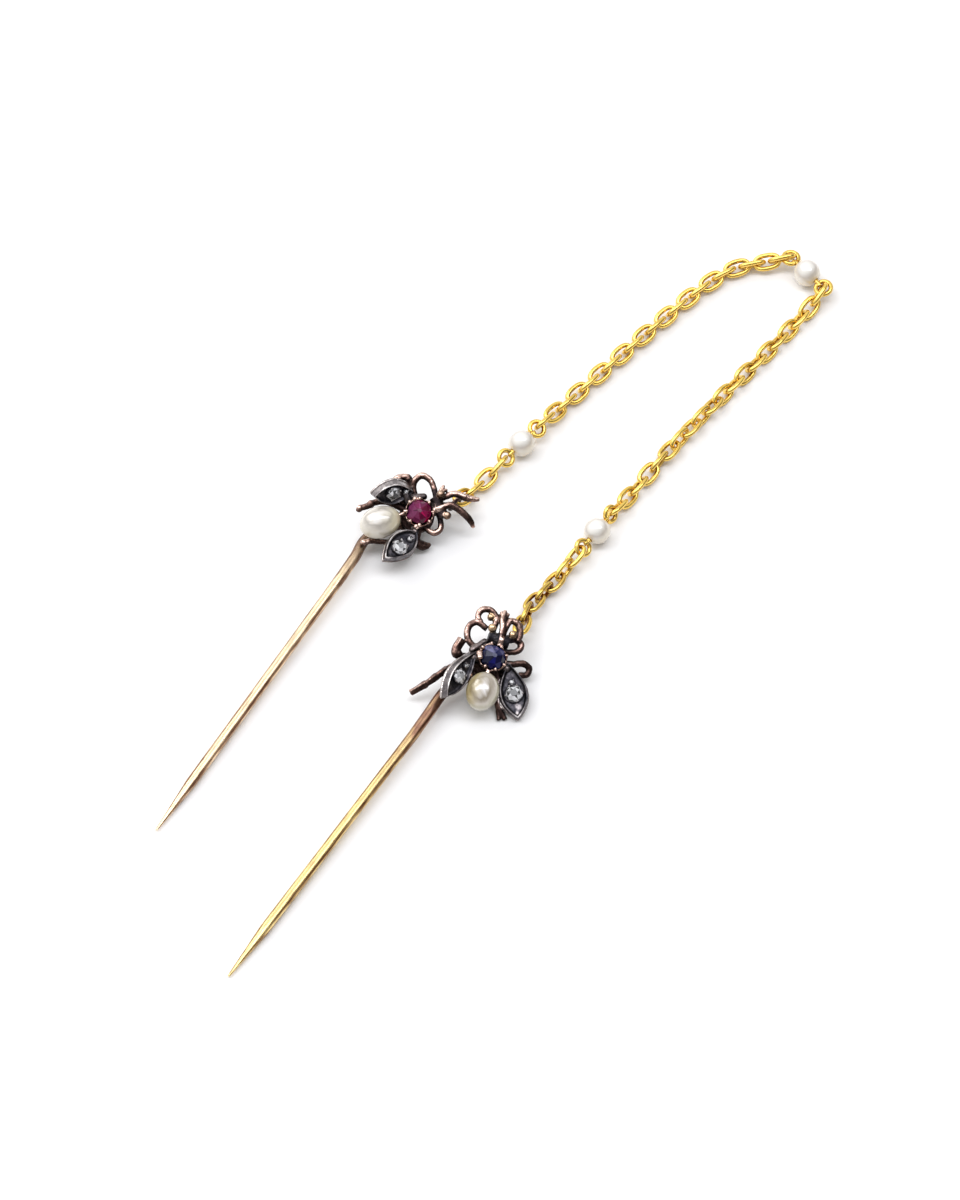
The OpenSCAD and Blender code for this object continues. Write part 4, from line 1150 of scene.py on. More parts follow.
class STICKPIN_OT_stems(bpy.types.Operator):
    """Make the two long stems, bent under the flies and tapered to a point"""

    bl_idname = "stickpin.stems"
    bl_label = "Stems"

    def execute(self, context):
        settings = context.scene.stickpin_stems
        radius = settings.diameter / MM / 2
        taper = settings.taper / MM
        tip = settings.point / MM / 2
        # Gold of the run, colour of the head, and how far the head's colour reaches
        looks = {
            "ruby": (settings.ruby_gold, (0.27, 0.17, 0.125), 13.5),
            "sapphire": (settings.sapphire_gold, settings.copper, 22.0),
        }
        for name, stem in STEMS.items():
            gold, head, reach = looks[name]
            x, y = np.subtract(stem["run"][1], stem["run"][0])[:2]
            heading = math.degrees(math.atan2(y, x))
            material = stem_gold(f"{name.capitalize()} stem gold", gold, head, reach, -heading)
            line = stem_line(stem, radius, taper, tip)
            obj = wires(f"{name} stem", [line], steps=3, sides=28, material=material)
            normals = get_normals(obj)
            bands = np.zeros(len(normals))
            # Painted shade: a dark band on the side of the stem that faces each direction
            for direction, narrow, strength in PAINTED_SHADE_BANDS:
                facing = normals @ unit(direction)
                bands = np.maximum(bands, strength * np.clip(1.6 * (facing - narrow) / (1 - narrow), 0, 1))
            set_values(obj, "tarnish_and_shade", np.clip(TARNISH_ALL_OVER + bands, 0, 1))
            finish_piece(obj, f"{name}_fly_stem_wire", f"{name}_fly_stem")
        return {"FINISHED"}


# Wings and diamonds

# Points round the outline of a wing
LEAF_POINTS = 112
# Heights over the rim of a wing
SEAT_LEVEL = -0.24
STONE_LEVEL = -0.2
GRAIN_LEVEL = -0.09
# Usual radius of the small diamond
SMALL_DIAMOND = 0.26


def wing_length(wing):
    return np.linalg.norm(np.subtract(wing.tip, wing.root))


def wing_axes(wing, side):
    """A wing's own X from root to tip, Y across it and Z out of its face. Side is 1 on the left, else -1."""
    x = unit(np.subtract(wing.tip, wing.root))
    level = unit(np.cross(UP, x))
    square = np.cross(x, level)
    c, s = cos_deg(-side * wing.lift), sin_deg(-side * wing.lift)
    return np.stack([x, c * level + s * square, c * square - s * level])


def wing_place(fly, i, points):
    """From the own frame of wing i to the pin's, in millimetres."""
    wing = fly["wings"][i]
    own = np.asarray(points, dtype=float) @ wing_axes(wing, 1 - 2 * i) + np.array(wing.root)
    return fly_place(fly, own)


def leaf(wing, z, grow):
    """Outline of a wing as a ring of points, pointed at the tip."""
    length = wing_length(wing)
    half_length = length / 2 + grow
    half_width = max(wing.width / 2 + grow, 0.02)
    a = np.arange(LEAF_POINTS) * 2 * np.pi / LEAF_POINTS
    t = (1 - np.cos(a)) / 2
    bulge = np.clip(np.sin(np.pi * t ** (math.log(0.5) / math.log(wing.widest))), 0, None) ** 0.8
    bulge[[0, LEAF_POINTS // 2]] = 0
    return np.stack([length / 2 - half_length + 2 * half_length * t,
                     np.where(a < np.pi, -1, 1) * half_width * bulge, np.full(LEAF_POINTS, z)], axis=1)


def rim_light(first, second, tip):
    """How bright the rim is at each point of the outline, from its first edge, second edge and tip: wear with
    a painted highlight.
    """
    k = np.arange(LEAF_POINTS)
    t = (1 - np.cos(2 * np.pi * k / LEAF_POINTS)) / 2
    window = np.clip(np.sin(np.pi * np.clip(t, 0, 1)) * 1.5, 0, 1)
    value = np.where(k < LEAF_POINTS // 2, first, second) * window
    return np.maximum(value, tip * np.clip((t - 0.8) / 0.17, 0, 1))


def wing_cup(wing, depth, rim, light, wall, spots):
    """Silver leaf: wall, thin rounded rim and sunk floor, with the brightness of each point."""
    # Columns: height, growth of the outline, usual brightness, share of the rim's own light
    rows = [(-depth, 0.1, 0.85 * wall, 0.1), (-0.8 * depth, 0.09, 0.95 * wall, 0.1),
            (-0.5 * depth, 0.065, wall, 0.1), (-0.25, 0.045, 0.9 * wall, 0.15), (-0.11, 0.03, 0.3, 0.45),
            (-0.03, 0.0, 0.24, 0.9), (0.0, -0.035, 0.22, 1.0), (-0.012, -0.45 * rim - 0.02, 0.2, 1.0),
            (-0.05, -0.85 * rim, 0.18, 0.75),
            (-0.12, -rim - 0.02, 0.15, 0.15), (-0.21, -rim - 0.07, 0.13, 0), (-0.29, -rim - 0.14, 0.09, 0),
            (-0.33, -rim - 0.3, 0.1, 0), (-0.34, -rim - 0.5, 0.14, 0), (-0.35, -rim - 0.75, 0.1, 0)]
    rings, bright = [], []
    for z, grow, usual, share in rows:
        rings.append(leaf(wing, z, grow))
        bright.append(np.clip(usual * (1 - 0.35 * (share > 0.2)) + share * light, 0, 1))
    points, faces = loft(rings)
    bright = np.concatenate(bright)
    # Bright patches on the floor: place along and across, reach, brightness
    for along, across, reach, value in spots:
        away = np.hypot(points[:, 0] - along * wing_length(wing), points[:, 1] - across) / reach
        bright = np.maximum(bright, value * np.clip(1.5 - 1.5 * away, 0, 1) * (points[:, 2] > -0.4))
    return points, faces, bright


def cut_stone(radius, crown, depth, chance, uneven, table=0.42, shoulder=0.8, rise=0.62):
    """Old cut stone: table of eight sides, two rows of facets, girdle and flat foot."""
    def ring(count, r, z, turn=0.0):
        a = np.radians(360 * np.arange(count) / count + turn)
        out = r * (1 + uneven * chance.uniform(-1, 1, count))
        up = z + uneven * 0.3 * crown * chance.uniform(-1, 1, count)
        return np.stack([out * np.cos(a), out * np.sin(a), up], axis=1)

    girdle = ring(16, radius, 0.1 * radius)
    lower = girdle.copy()
    lower[:, 2] = 0
    points = np.concatenate([ring(8, table * radius, crown), ring(8, shoulder * radius, rise * crown, 22.5),
                             girdle, lower, ring(8, 0.5 * radius, -depth)])
    # First point of the row under the table, of the girdle's upper and lower edge, and of the foot
    m, g, w, f = 8, 16, 32, 48
    points[f:, 2] = -depth
    faces = [tuple(range(8)), tuple(f + j for j in range(7, -1, -1))]
    for j in range(8):
        j1 = (j + 1) % 8
        faces += [(j, m + j, j1), (m + j, m + j1, j1), (m + j, g + 2 * j, g + 2 * j + 1),
                  (m + j, g + 2 * j + 1, g + (2 * j + 2) % 16), (g + (2 * j + 2) % 16, m + j1, m + j),
                  (f + j, w + 2 * j + 1, w + 2 * j), (f + j, w + 2 * j, w + (2 * j + 15) % 16),
                  (f + j, f + j1, w + 2 * j + 1)]
    faces += [(g + k, w + k, w + (k + 1) % 16, g + (k + 1) % 16) for k in range(16)]
    return points, faces


def colour_facets(obj, colours):
    """Gives every face its own colour."""
    layer = obj.data.color_attributes.new("facet", "FLOAT_COLOR", "CORNER")
    for face, colour in zip(obj.data.polygons, colours):
        for corner in face.loop_indices:
            layer.data[corner].color = (*colour, 1.0)


def sparkle(white, chance):
    """Colour of one facet of a diamond, painted as its glint or dark reflection: bright, grey or almost
    black.
    """
    roll = chance.uniform()
    level = 1.0 if roll > 0.46 else 0.42 if roll > 0.2 else 0.05
    return np.clip(np.array(white) * level * chance.uniform(0.8, 1.1), 0, 1)


class STICKPIN_OT_wings(bpy.types.Operator):
    """Make the four silver wings and the diamonds that are set in them"""

    bl_idname = "stickpin.wings"
    bl_label = "Wings and Diamonds"

    def execute(self, context):
        settings = context.scene.stickpin_flies
        silver = wing_silver(settings)
        diamond = stone_finish("Diamond", ior=1.8, shine=0.4)
        large = settings.diamond / MM / 2
        for name, fly in FLIES.items():
            for i, side in enumerate(("left", "right")):
                wing = fly["wings"][i]
                length = wing_length(wing)
                # Place along and across, radius, height of the crown
                stones = [(wing.large[0] * length, wing.large[1], wing.large[2] * large, 0.42),
                          (wing.small[0] * length, wing.small[1], wing.small[2] * SMALL_DIAMOND, 0.22)]
                chance = np.random.default_rng(17 + 3 * i + len(name))
                cup = self.cup(settings, fly, i, stones, silver, chance)
                finish_piece(cup, f"{name}_wing_cup_{side}", f"{name}_fly_wing_{side}", silver)
                tones = np.random.default_rng(40 + 5 * i + len(name))
                cut = self.diamonds(settings, fly, i, stones, chance, tones)
                finish_piece(cut, f"{name}_diamonds_{side}", f"{name}_fly_diamonds_{side}",
                             diamond, smooth_faces=False)
        return {"FINISHED"}

    def cup(self, settings, fly, i, stones, silver, chance):
        """The silver of wing i, with a raised seat and beads round each stone."""
        wing = fly["wings"][i]
        outer, inner, tip = fly["rims"][i]
        # The outline of a left wing starts along its outer edge, that of a right wing along its inner edge
        light = rim_light(outer, inner, tip) if i == 0 else rim_light(inner, outer, tip)
        points, faces, bright = wing_cup(wing, settings.wing_depth / MM * wing.deep, settings.wing_rim / MM,
                                         light, fly["walls"][i], fly["spots"][i])
        cup = new_object("wing", wing_place(fly, i, points), faces)
        set_values(cup, "bright", bright)
        points, faces = gather([hoop((x, y, SEAT_LEVEL), (1, 0, 0), (0, 1, 0), r + 0.06, wire=0.09, steps=40,
                                     sides=8) for x, y, r, _ in stones])
        seats = new_object("seats", wing_place(fly, i, points), faces)
        set_values(seats, "bright", 0.16)
        grains = self.grains(fly, i, stones, silver, chance)
        set_values(grains, "bright", 0.75)
        return join([cup, seats, grains], "wing cup")

    def grains(self, fly, i, stones, silver, chance):
        """Small beads of silver that hold the edge of each stone."""
        points, stretch = [], []
        for x, y, r, _ in stones:
            is_large = r > 0.5
            count = 5 if is_large else 3
            for k in range(count):
                a = 2 * np.pi * (k + chance.uniform(-0.2, 0.2)) / count
                points.append((x + (r + 0.03) * math.cos(a), y + (r + 0.03) * math.sin(a), GRAIN_LEVEL))
                stretch.append((1.0, 1.0, 0.9) if is_large else (0.6, 0.6, 0.6))
        obj = new_object("grains", wing_place(fly, i, points), [])
        set_vectors(obj, "stretch", stretch)
        set_vectors(obj, "turn", np.zeros((len(points), 3)))
        return bead_recipe("Silver grains", radius=0.11, material=silver).make(obj, "grains")

    def diamonds(self, settings, fly, i, stones, chance, tones):
        """The large and the small diamond of wing i."""
        parts = []
        for x, y, r, crown in stones:
            points, faces = cut_stone(r, crown, depth=0.08, chance=chance, uneven=0.09)
            parts.append((points + np.array([x, y, STONE_LEVEL]), faces))
        points, faces = gather(parts)
        cut = new_object("stones", wing_place(fly, i, points), faces)
        colour_facets(cut, [sparkle(settings.diamond_white, tones) for _ in faces])
        return cut


def join(objects, name):
    """Several plain mesh objects as one, with the numbers on their points."""
    work = bmesh.new()
    keep = {}
    for obj in objects:
        for attribute in obj.data.attributes:
            if attribute.data_type == "FLOAT" and attribute.domain == "POINT":
                keep.setdefault(attribute.name, [])
    for obj in objects:
        count = len(obj.data.vertices)
        for key, values in keep.items():
            got = np.zeros(count, dtype=np.float32)
            if key in obj.data.attributes:
                obj.data.attributes[key].data.foreach_get("value", got)
            values.append(got)
        work.from_mesh(obj.data)
    mesh = bpy.data.meshes.new(name)
    work.to_mesh(mesh)
    work.free()
    for key in [a.name for a in mesh.attributes if a.name in keep]:
        mesh.attributes.remove(mesh.attributes[key])
    for obj in objects:
        data = obj.data
        bpy.data.objects.remove(obj)
        bpy.data.meshes.remove(data)
    joined = bpy.data.objects.new(name, mesh)
    bpy.context.scene.collection.objects.link(joined)
    for key, values in keep.items():
        set_values(joined, key, np.concatenate(values))
    return joined


# Frames of the flies

# Round bars in a fly's own frame: start, end, radius, and radius at the end where it differs
THORAX = ((-0.15, 0, -1.1), (-0.15, 0, -0.6), 1.85, 1.8)
NECK = ((1.25, -0.2, -0.4), (2.3, -0.2, -0.1), 0.6)
HEAD = ((2.2, -1.3, 0.05), (2.2, 1.0, 0.05), 0.64)
# Egg that rounds the head: middle, radius, stretch
BROW = ((2.15, -0.15, 0.1), 0.72, (1.0, 1.55, 0.95))
# Radii of the peg for the body pearl, the arm under a wing, the collar round the stem, the bar that carries
# the collar, and the wire that carries the chain's ring
PEG_RADIUS = 0.3
ARM_RADIUS = 0.26
COLLAR_RADIUS = 0.86
COLLAR_BAR_RADIUS = 0.7
RING_ROOT_RADIUS = 0.24
# Thickness of the gold plate behind a wing of the usual depth
PLATE = 0.42
# Height of the tips of the claws over the middle of the fly
CLAW_LEVEL = 0.84


def collet(gem_radius):
    """Cup for the coloured stone, with a scalloped lip that rises to its claws."""
    angles = circle(128)
    lobe = (0.5 + 0.5 * np.cos(CLAWS * (angles - np.pi / CLAWS))) ** 1.6

    def ring(r, z):
        r = np.broadcast_to(r, angles.shape)
        z = np.broadcast_to(z, angles.shape)
        return np.stack([r * np.cos(angles), r * np.sin(angles), z], axis=1)

    lip = 0.46 + (0.42 + 0.08 * np.cos(3 * angles + 1)) * lobe
    inner = gem_radius + 0.08 - 0.22 * lobe
    outer = gem_radius + 0.24
    return loft([
        ring(1.25, -1.05), ring(1.4 + 0.02 * lobe, -0.5), ring(outer - 0.04 + 0.06 * lobe, 0.0),
        ring(outer + 0.07 * lobe, lip * 0.6), ring(outer - 0.03 + 0.04 * lobe, lip - 0.05),
        ring(outer - 0.08 - 0.02 * lobe, lip),
        ring(inner + 0.06, lip + 0.02), ring(inner, lip - 0.06), ring(inner + 0.02 + 0.12 * lobe, lip - 0.22),
        ring(gem_radius + 0.08, 0.3), ring(0.85, -0.3),
    ])


def wing_back(wing, depth):
    """Gold plate behind the silver of a wing."""
    thick = wing.deep * PLATE
    return loft([leaf(wing, -depth - thick, 0.02), leaf(wing, -depth - 0.9 * thick, 0.12),
                 leaf(wing, -depth - 0.6 * thick, 0.19), leaf(wing, -depth - 0.3 * thick, 0.17),
                 leaf(wing, -depth - 0.05, 0.12)])


def fly_shells(fly, gem_radius, depth):
    """Closed shells of a fly's thorax, head, solder, bars and wing backs, in its own frame."""
    at = fly["pearl"][0]
    shells = [collet(gem_radius), rod(*THORAX, sides=64), rod(*NECK), rod(*HEAD), ball(*BROW)]
    shells += [ball(eye, EYE_RADIUS) for eye in fly["eyes"]]
    for start, stop, r in [fly["shoulder"]] + fly["solder"]:
        shells += [rod(start, stop, r), ball(start, r), ball(stop, r)]
    shells += [rod(*bar, sides=4) for bar in fly["bars"]]
    shells += [ball(knob[:3], knob[3], sides=16) for knob in fly["knobs"]]
    shells.append(rod((-1.5, at[1], 0.3), (at[0] + 0.5, at[1], 0.3), PEG_RADIUS))
    for i, wing in enumerate(fly["wings"]):
        side = 1 - 2 * i
        axes = wing_axes(wing, side)
        points, faces = wing_back(wing, depth * wing.deep)
        shells.append((points @ axes + np.array(wing.root), faces))
        seat = np.array([0.3 * wing_length(wing), wing.arm * side,
                         -depth * wing.deep - wing.deep * PLATE - 0.12])
        shells.append(rod((-0.5, 0.9 * side, -1.05), np.array(wing.root) + seat @ axes, ARM_RADIUS))
    return shells


def collar_and_ring(fly, stem, chain):
    """Closed shells of the collar for the stem and of the ring for the chain, in the pin's frame."""
    bend = np.array(stem["bend"])
    along = unit(bend[1] - bend[0])
    shells = [rod(bend[0] - 0.5 * along, bend[0] + 1.4 * along, COLLAR_RADIUS),
              rod(*fly["collar_bar"], COLLAR_BAR_RADIUS)]
    wire = chain.loop_wire / MM / 2
    radius = chain.loop / MM / 2 - wire
    middle, heading, roll = fly["ring"]
    u = np.array([cos_deg(heading), sin_deg(heading), 0])
    w = np.array([-sin_deg(heading) * cos_deg(roll), cos_deg(heading) * cos_deg(roll), sin_deg(roll)])
    shells.append(hoop(middle, u, w, radius, wire))
    # The wire from the fly meets the ring where it is nearest
    normal = np.cross(u, w)
    to_root = np.subtract(fly["ring_root"], middle)
    flat = unit(to_root - (to_root @ normal) * normal)
    shells.append(rod(fly["ring_root"], np.array(middle) + flat * radius, RING_ROOT_RADIUS))
    return shells


def claw_tips(fly, gem_radius, material):
    """A bead on the tip of each claw, longest outwards from the stone."""
    angles = [np.pi / CLAWS + k * 2 * np.pi / CLAWS for k in range(CLAWS)]
    out = gem_radius + 0.13
    points = [(out * math.cos(a), out * math.sin(a), CLAW_LEVEL) for a in angles]
    fly_turn = Matrix(turn_matrix(fly["turn"]).tolist())
    tips = new_object("claws", fly_place(fly, points), [])
    set_vectors(tips, "stretch", np.array(fly["claw_sizes"])[:, None] * np.array([1.35, 1.0, 0.75]))
    set_vectors(tips, "turn", [(fly_turn @ Matrix.Rotation(a, 3, "Z")).to_euler("XYZ") for a in angles])
    return bead_recipe("Claw tips", radius=0.14, material=material).make(tips, "claws")


def solder(obj):
    """Melts the parts of a frame into one skin."""
    soldered = obj.modifiers.new("Solder", "REMESH")
    soldered.mode = "VOXEL"
    soldered.voxel_size = 0.07
    soldered.use_smooth_shade = True
    return settle(obj, obj.name)


def bore_collar(obj, stem, diameter):
    """Drills the hole of the collar that the stem sits in, and softens the whole skin."""
    bend = np.array(stem["bend"])
    along = unit(bend[1] - bend[0])
    radius = diameter / 2 * BEND_SWELL + 0.12
    drill = new_object("drill", *rod(bend[0] - 0.05 * along, bend[0] + 6 * along, radius, sides=40))
    drilled = obj.modifiers.new("Bore", "BOOLEAN")
    drilled.object = drill
    drilled.operation = "DIFFERENCE"
    drilled.solver = "MANIFOLD"
    softened = obj.modifiers.new("Soften", "SMOOTH")
    softened.factor = 0.5
    softened.iterations = 3
    obj = settle(obj, obj.name)
    bpy.data.objects.remove(drill)
    return obj


def neighbour_mean(mesh, values):
    """The mean of each point's neighbours along the edges."""
    edges = np.empty(len(mesh.edges) * 2, dtype=np.int64)
    mesh.edges.foreach_get("vertices", edges)
    edges = edges.reshape(-1, 2)
    total = np.zeros_like(values)
    number = np.zeros(len(values))
    for here, there in ((0, 1), (1, 0)):
        np.add.at(total, edges[:, here], values[edges[:, there]])
        np.add.at(number, edges[:, here], 1)
    return total / np.maximum(number, 1).reshape((-1,) + (1,) * (values.ndim - 1))


def shelter_of(obj, rays=10, reach=1.5):
    """How sheltered each point is, by rays to the parts around it and by how hollow the skin is there."""
    mesh = obj.data
    points = get_points(obj)
    normals = get_normals(obj)
    tree = BVHTree.FromPolygons([tuple(p) for p in points], [tuple(f.vertices) for f in mesh.polygons])
    # Spiral of directions over a half ball, turned by the golden angle at each step
    k = np.arange(rays) + 0.5
    z = 0.25 + 0.75 * k / rays
    a = k * 2.399963
    spiral = np.stack([np.sqrt(1 - z * z) * np.cos(a), np.sqrt(1 - z * z) * np.sin(a), z], axis=1)
    side = np.cross(normals, [0.31, 0.87, 0.39])
    side /= np.maximum(np.linalg.norm(side, axis=1), 1e-6)[:, None]
    other = np.cross(normals, side)
    hidden = np.zeros(len(points))
    starts = points + normals * 0.03
    for direction in spiral:
        aims = direction[0] * side + direction[1] * other + direction[2] * normals
        for i, (start, aim) in enumerate(zip(starts, aims)):
            distance = tree.ray_cast(Vector(start), Vector(aim), reach)[3]
            if distance is not None:
                hidden[i] += 1.0 - 0.6 * distance / reach
    around = points.copy()
    for _ in range(4):
        around = neighbour_mean(mesh, around)
    hollow = np.einsum("ij,ij->i", around - points, normals)
    value = 1.15 * hidden / rays + 7.0 * hollow
    for _ in range(2):
        value = 0.5 * value + 0.5 * neighbour_mean(mesh, value)
    return value


def head_tones(fly, own):
    """Where the dark block of the head is, and the bright ridge that runs over it from feelers to collet."""
    away = own - np.array([2.15, 0, 0.05])
    away[:, 1] = np.sign(away[:, 1]) * np.maximum(np.abs(away[:, 1]) - 1.05, 0)
    head = np.clip((1.0 - np.linalg.norm(away, axis=1)) / 0.25, 0, 1)
    middle, half = fly["ridge"]
    ridge = head * np.clip((half + 0.12 - np.abs(own[:, 1] - middle)) / 0.12, 0, 1) * (own[:, 2] > 0.1)
    return head * (1 - ridge), ridge


def back_tones(fly, points, depth):
    """Where a point lies on the grey back of a wing."""
    shells = []
    for i, wing in enumerate(fly["wings"]):
        back, faces = wing_back(wing, depth * wing.deep)
        shells.append((wing_place(fly, i, back), faces))
    shell_points, shell_faces = gather(shells)
    tree = BVHTree.FromPolygons([tuple(p) for p in shell_points], shell_faces)
    grey = np.zeros(len(points))
    for i, point in enumerate(points):
        distance = tree.find_nearest(Vector(point), 0.3)[3]
        if distance is not None:
            grey[i] = np.clip((0.24 - distance) / 0.12, 0, 1)
    return grey


def plate_tones(fly, own):
    """Where a point lies on the plates between the wings and the thorax."""
    plate = np.zeros(len(own))
    for start, stop, radius in [fly["shoulder"]] + fly["solder"]:
        start, along = np.array(start), np.array(stop) - np.array(start)
        share = np.clip((own - start) @ along / (along @ along), 0, 1)
        away = np.linalg.norm(own - start - share[:, None] * along, axis=1)
        plate = np.maximum(plate, np.clip((radius + 0.12 - away) / 0.1, 0, 1))
    return plate * (np.hypot(own[:, 0], own[:, 1]) > 1.45)


def ball_tones(fly, own):
    """Where a point lies on a yellow ball: the eyes, and the last knob where that is one."""
    balls = fly["eyes"] + ([fly["knobs"][-1][:3]] if fly["has_ball"] else [])
    on_ball = np.zeros(len(own), dtype=bool)
    for at in balls:
        on_ball |= np.linalg.norm(own - np.array(at), axis=1) < EYE_RADIUS + 0.06
    return on_ball


def frame_tones(obj, fly, depth):
    """Patina with painted shade and highlight, grey of the silver parts and yellow of the balls at each point
    of a frame.
    """
    # Patina in the hollows, and painted shade where nearby parts shut out the light
    sheltered = shelter_of(obj)
    points = get_points(obj)
    own = (points - np.array(fly["at"])) @ turn_matrix(fly["turn"])
    # Painted highlight on metal that faces up and back, towards the light, and painted brown shade on the
    # rest
    facing_light = np.clip(get_normals(obj) @ unit((-0.1, 0.42, 0.9)), 0, 1)
    patina_and_shade = fly["age"] + 1.1 * sheltered + 0.78 * (1 - facing_light ** 1.5)
    head, ridge = head_tones(fly, own)
    patina_and_shade += 0.7 * head - 0.55 * ridge
    # Thorax: dark plate under the stone
    radius = np.hypot(own[:, 0], own[:, 1])
    patina_and_shade += 0.5 * ((radius < 3.0) & (own[:, 2] < -0.3)) + 0.25 * ((radius < 1.9) & (own[:, 2] < 0.35))
    # Lip of the collet: bright where the claws rise
    lip = np.clip((radius - 1.18) / 0.1, 0, 1) * (radius < 1.88) * np.clip((own[:, 2] - 0.3) / 0.3, 0, 1)
    patina_and_shade -= 0.5 * lip * (own[:, 2] < 1.2)
    for x, y, z, reach, change in fly["tones"]:
        away = np.linalg.norm(own - np.array([x, y, z]), axis=1) / reach
        patina_and_shade += change * np.clip(1.3 - 1.3 * away ** 2, 0, 1)
    # The balls, the grey backs and the plates also take painted shade on the faces turned from the light
    on_ball = ball_tones(fly, own)
    patina_and_shade = np.where(on_ball, 0.75 * (1 - facing_light), patina_and_shade)
    grey = back_tones(fly, points, depth)
    patina_and_shade = patina_and_shade * (1 - grey) + grey * np.clip(0.75 * sheltered + 0.35 * (1 - facing_light) + 0.12, 0, 1)
    plate = plate_tones(fly, own) * (1 - grey)
    patina_and_shade = patina_and_shade * (1 - plate) + plate * np.clip(0.42 + 0.6 * (1 - facing_light), 0, 1)
    grey = np.clip(0.85 * grey + 0.8 * plate + fly["head"] * head * ~on_ball, 0, 0.9)
    return np.clip(patina_and_shade, 0, 1), grey, on_ball * (0.8 if fly["has_ball"] else 0.3)


class STICKPIN_OT_frames(bpy.types.Operator):
    """Make the rose gold frames of the two flies, soldered into one body each"""

    bl_idname = "stickpin.frames"
    bl_label = "Fly Frames"

    def execute(self, context):
        settings = context.scene.stickpin_flies
        chain = context.scene.stickpin_chain
        gold = rose_gold(settings)
        gem_radius = settings.gem / MM / 2
        depth = settings.wing_depth / MM
        stem_diameter = context.scene.stickpin_stems.diameter / MM
        for name, fly in FLIES.items():
            stem = STEMS[name]
            lines = []
            for line in fly["legs"] + fly["feelers"]:
                at = fly_place(fly, [p[:3] for p in line])
                lines.append([(*a, LEG_SWELL * p[3] + LEG_EXTRA) for a, p in zip(at, line)])
            legs = wires("legs", lines, steps=10, sides=16, material=gold)
            shells = [(fly_place(fly, points), faces) for points, faces in fly_shells(fly, gem_radius, depth)]
            body = new_object("body", *gather(shells + collar_and_ring(fly, stem, chain)))
            tips = claw_tips(fly, gem_radius, gold)
            whole = solder(join([legs, body, tips], f"{name} frame"))
            whole = bore_collar(whole, stem, stem_diameter)
            hammered = hammer_recipe(strength=0.13, scale=1.9, seed=3.0 + len(name), material=gold)
            whole = hammered.make(whole, whole.name)
            for key, tones in zip(("patina_and_shade", "grey", "ball"), frame_tones(whole, fly, depth)):
                set_values(whole, key, tones)
            finish_piece(whole, f"{name}_fly_body", f"{name}_fly_frame", gold)
        return {"FINISHED"}


# Coloured stones and body pearls

# Tones of the facets of each coloured stone, its own colour with painted light and reflection, lighter
# towards the light: direction in degrees in the fly's own frame, colour
FACET_TONES = {
    "ruby": [(20, (0.15, 0.004, 0.05)), (75, (0.19, 0.016, 0.08)), (115, (0.30, 0.055, 0.17)),
             (160, (0.19, 0.03, 0.10)), (205, (0.25, 0.03, 0.11)), (250, (0.12, 0.004, 0.035)),
             (300, (0.46, 0.008, 0.09)), (340, (0.20, 0.006, 0.05))],
    "sapphire": [(15, (0.11, 0.115, 0.24)), (50, (0.165, 0.165, 0.29)), (100, (0.025, 0.028, 0.085)),
                 (150, (0.007, 0.008, 0.05)), (200, (0.009, 0.010, 0.12)), (250, (0.005, 0.005, 0.032)),
                 (300, (0.009, 0.012, 0.07)), (345, (0.045, 0.048, 0.16))],
}
# Painted reflection tint of each body pearl: its colour, and the side that it is on
REFLECTION_TINTS = {
    "ruby": ((0.93, 0.91, 0.76), (0.5, -0.75, 0.2)),
    "sapphire": ((0.78, 0.7, 0.42), (-0.45, 0.8, 0.35)),
}
BODY_PEARL_HEIGHT = 3.3
# Height of the girdle of a coloured stone over the middle of its fly
GEM_LEVEL = 0.42


def facet_tone(tones, normal, chance):
    """Colour of one facet of a coloured stone, from the nearest direction among its tones: own colour with
    painted light and shade.
    """
    if normal[2] > 0.97:
        base = np.array(tones[0][1]) * 0.8
    else:
        angle = math.degrees(math.atan2(normal[1], normal[0])) % 360
        base = np.array(min(tones, key=lambda t: abs((t[0] - angle + 180) % 360 - 180))[1])
    return np.clip(base * chance.uniform(0.5, 1.2), 0, 1)


class STICKPIN_OT_stones(bpy.types.Operator):
    """Make the ruby and the sapphire"""

    bl_idname = "stickpin.stones"
    bl_label = "Ruby and Sapphire"

    def execute(self, context):
        settings = context.scene.stickpin_flies
        radius = settings.gem / MM / 2
        for number, (name, tones) in enumerate(FACET_TONES.items()):
            fly = FLIES[name]
            chance = np.random.default_rng(70 + number)
            points, faces = cut_stone(radius, crown=0.88, depth=0.6, chance=chance, uneven=fly["uneven"],
                                      table=0.2, shoulder=0.7, rise=0.66)
            stone = new_object(name, points + np.array([0, 0, GEM_LEVEL]), faces)
            colour_facets(stone, [facet_tone(tones, face.normal, chance) for face in stone.data.polygons])
            put_points(stone, fly_place(fly, get_points(stone)))
            finish_piece(stone, f"{name}_stone", name,
                         stone_finish(name.capitalize(), ior=1.6, shine=0.2), smooth_faces=False)
        return {"FINISHED"}


def drilled_egg(half, hole, drop):
    """Egg of three half sizes with a blind hole in its front end, and how many of its points are skin."""
    sides = 72
    angles = circle(sides)
    start = math.asin((hole + 0.08) / half[1])
    rings = []
    for a in np.linspace(np.pi - 0.01, start, 56):
        rings.append(np.stack([np.full(sides, half[0] * math.cos(a)), half[1] * math.sin(a) * np.cos(angles),
                               half[2] * math.sin(a) * np.sin(angles)], axis=1))
    skin = len(rings) * sides
    for x in (half[0] * math.cos(start) - 0.06, 0.35):
        rings.append(np.stack([np.full(sides, x), hole * np.cos(angles), drop + hole * np.sin(angles)],
                              axis=1))
    points, faces = loft(rings)
    return points, faces, skin


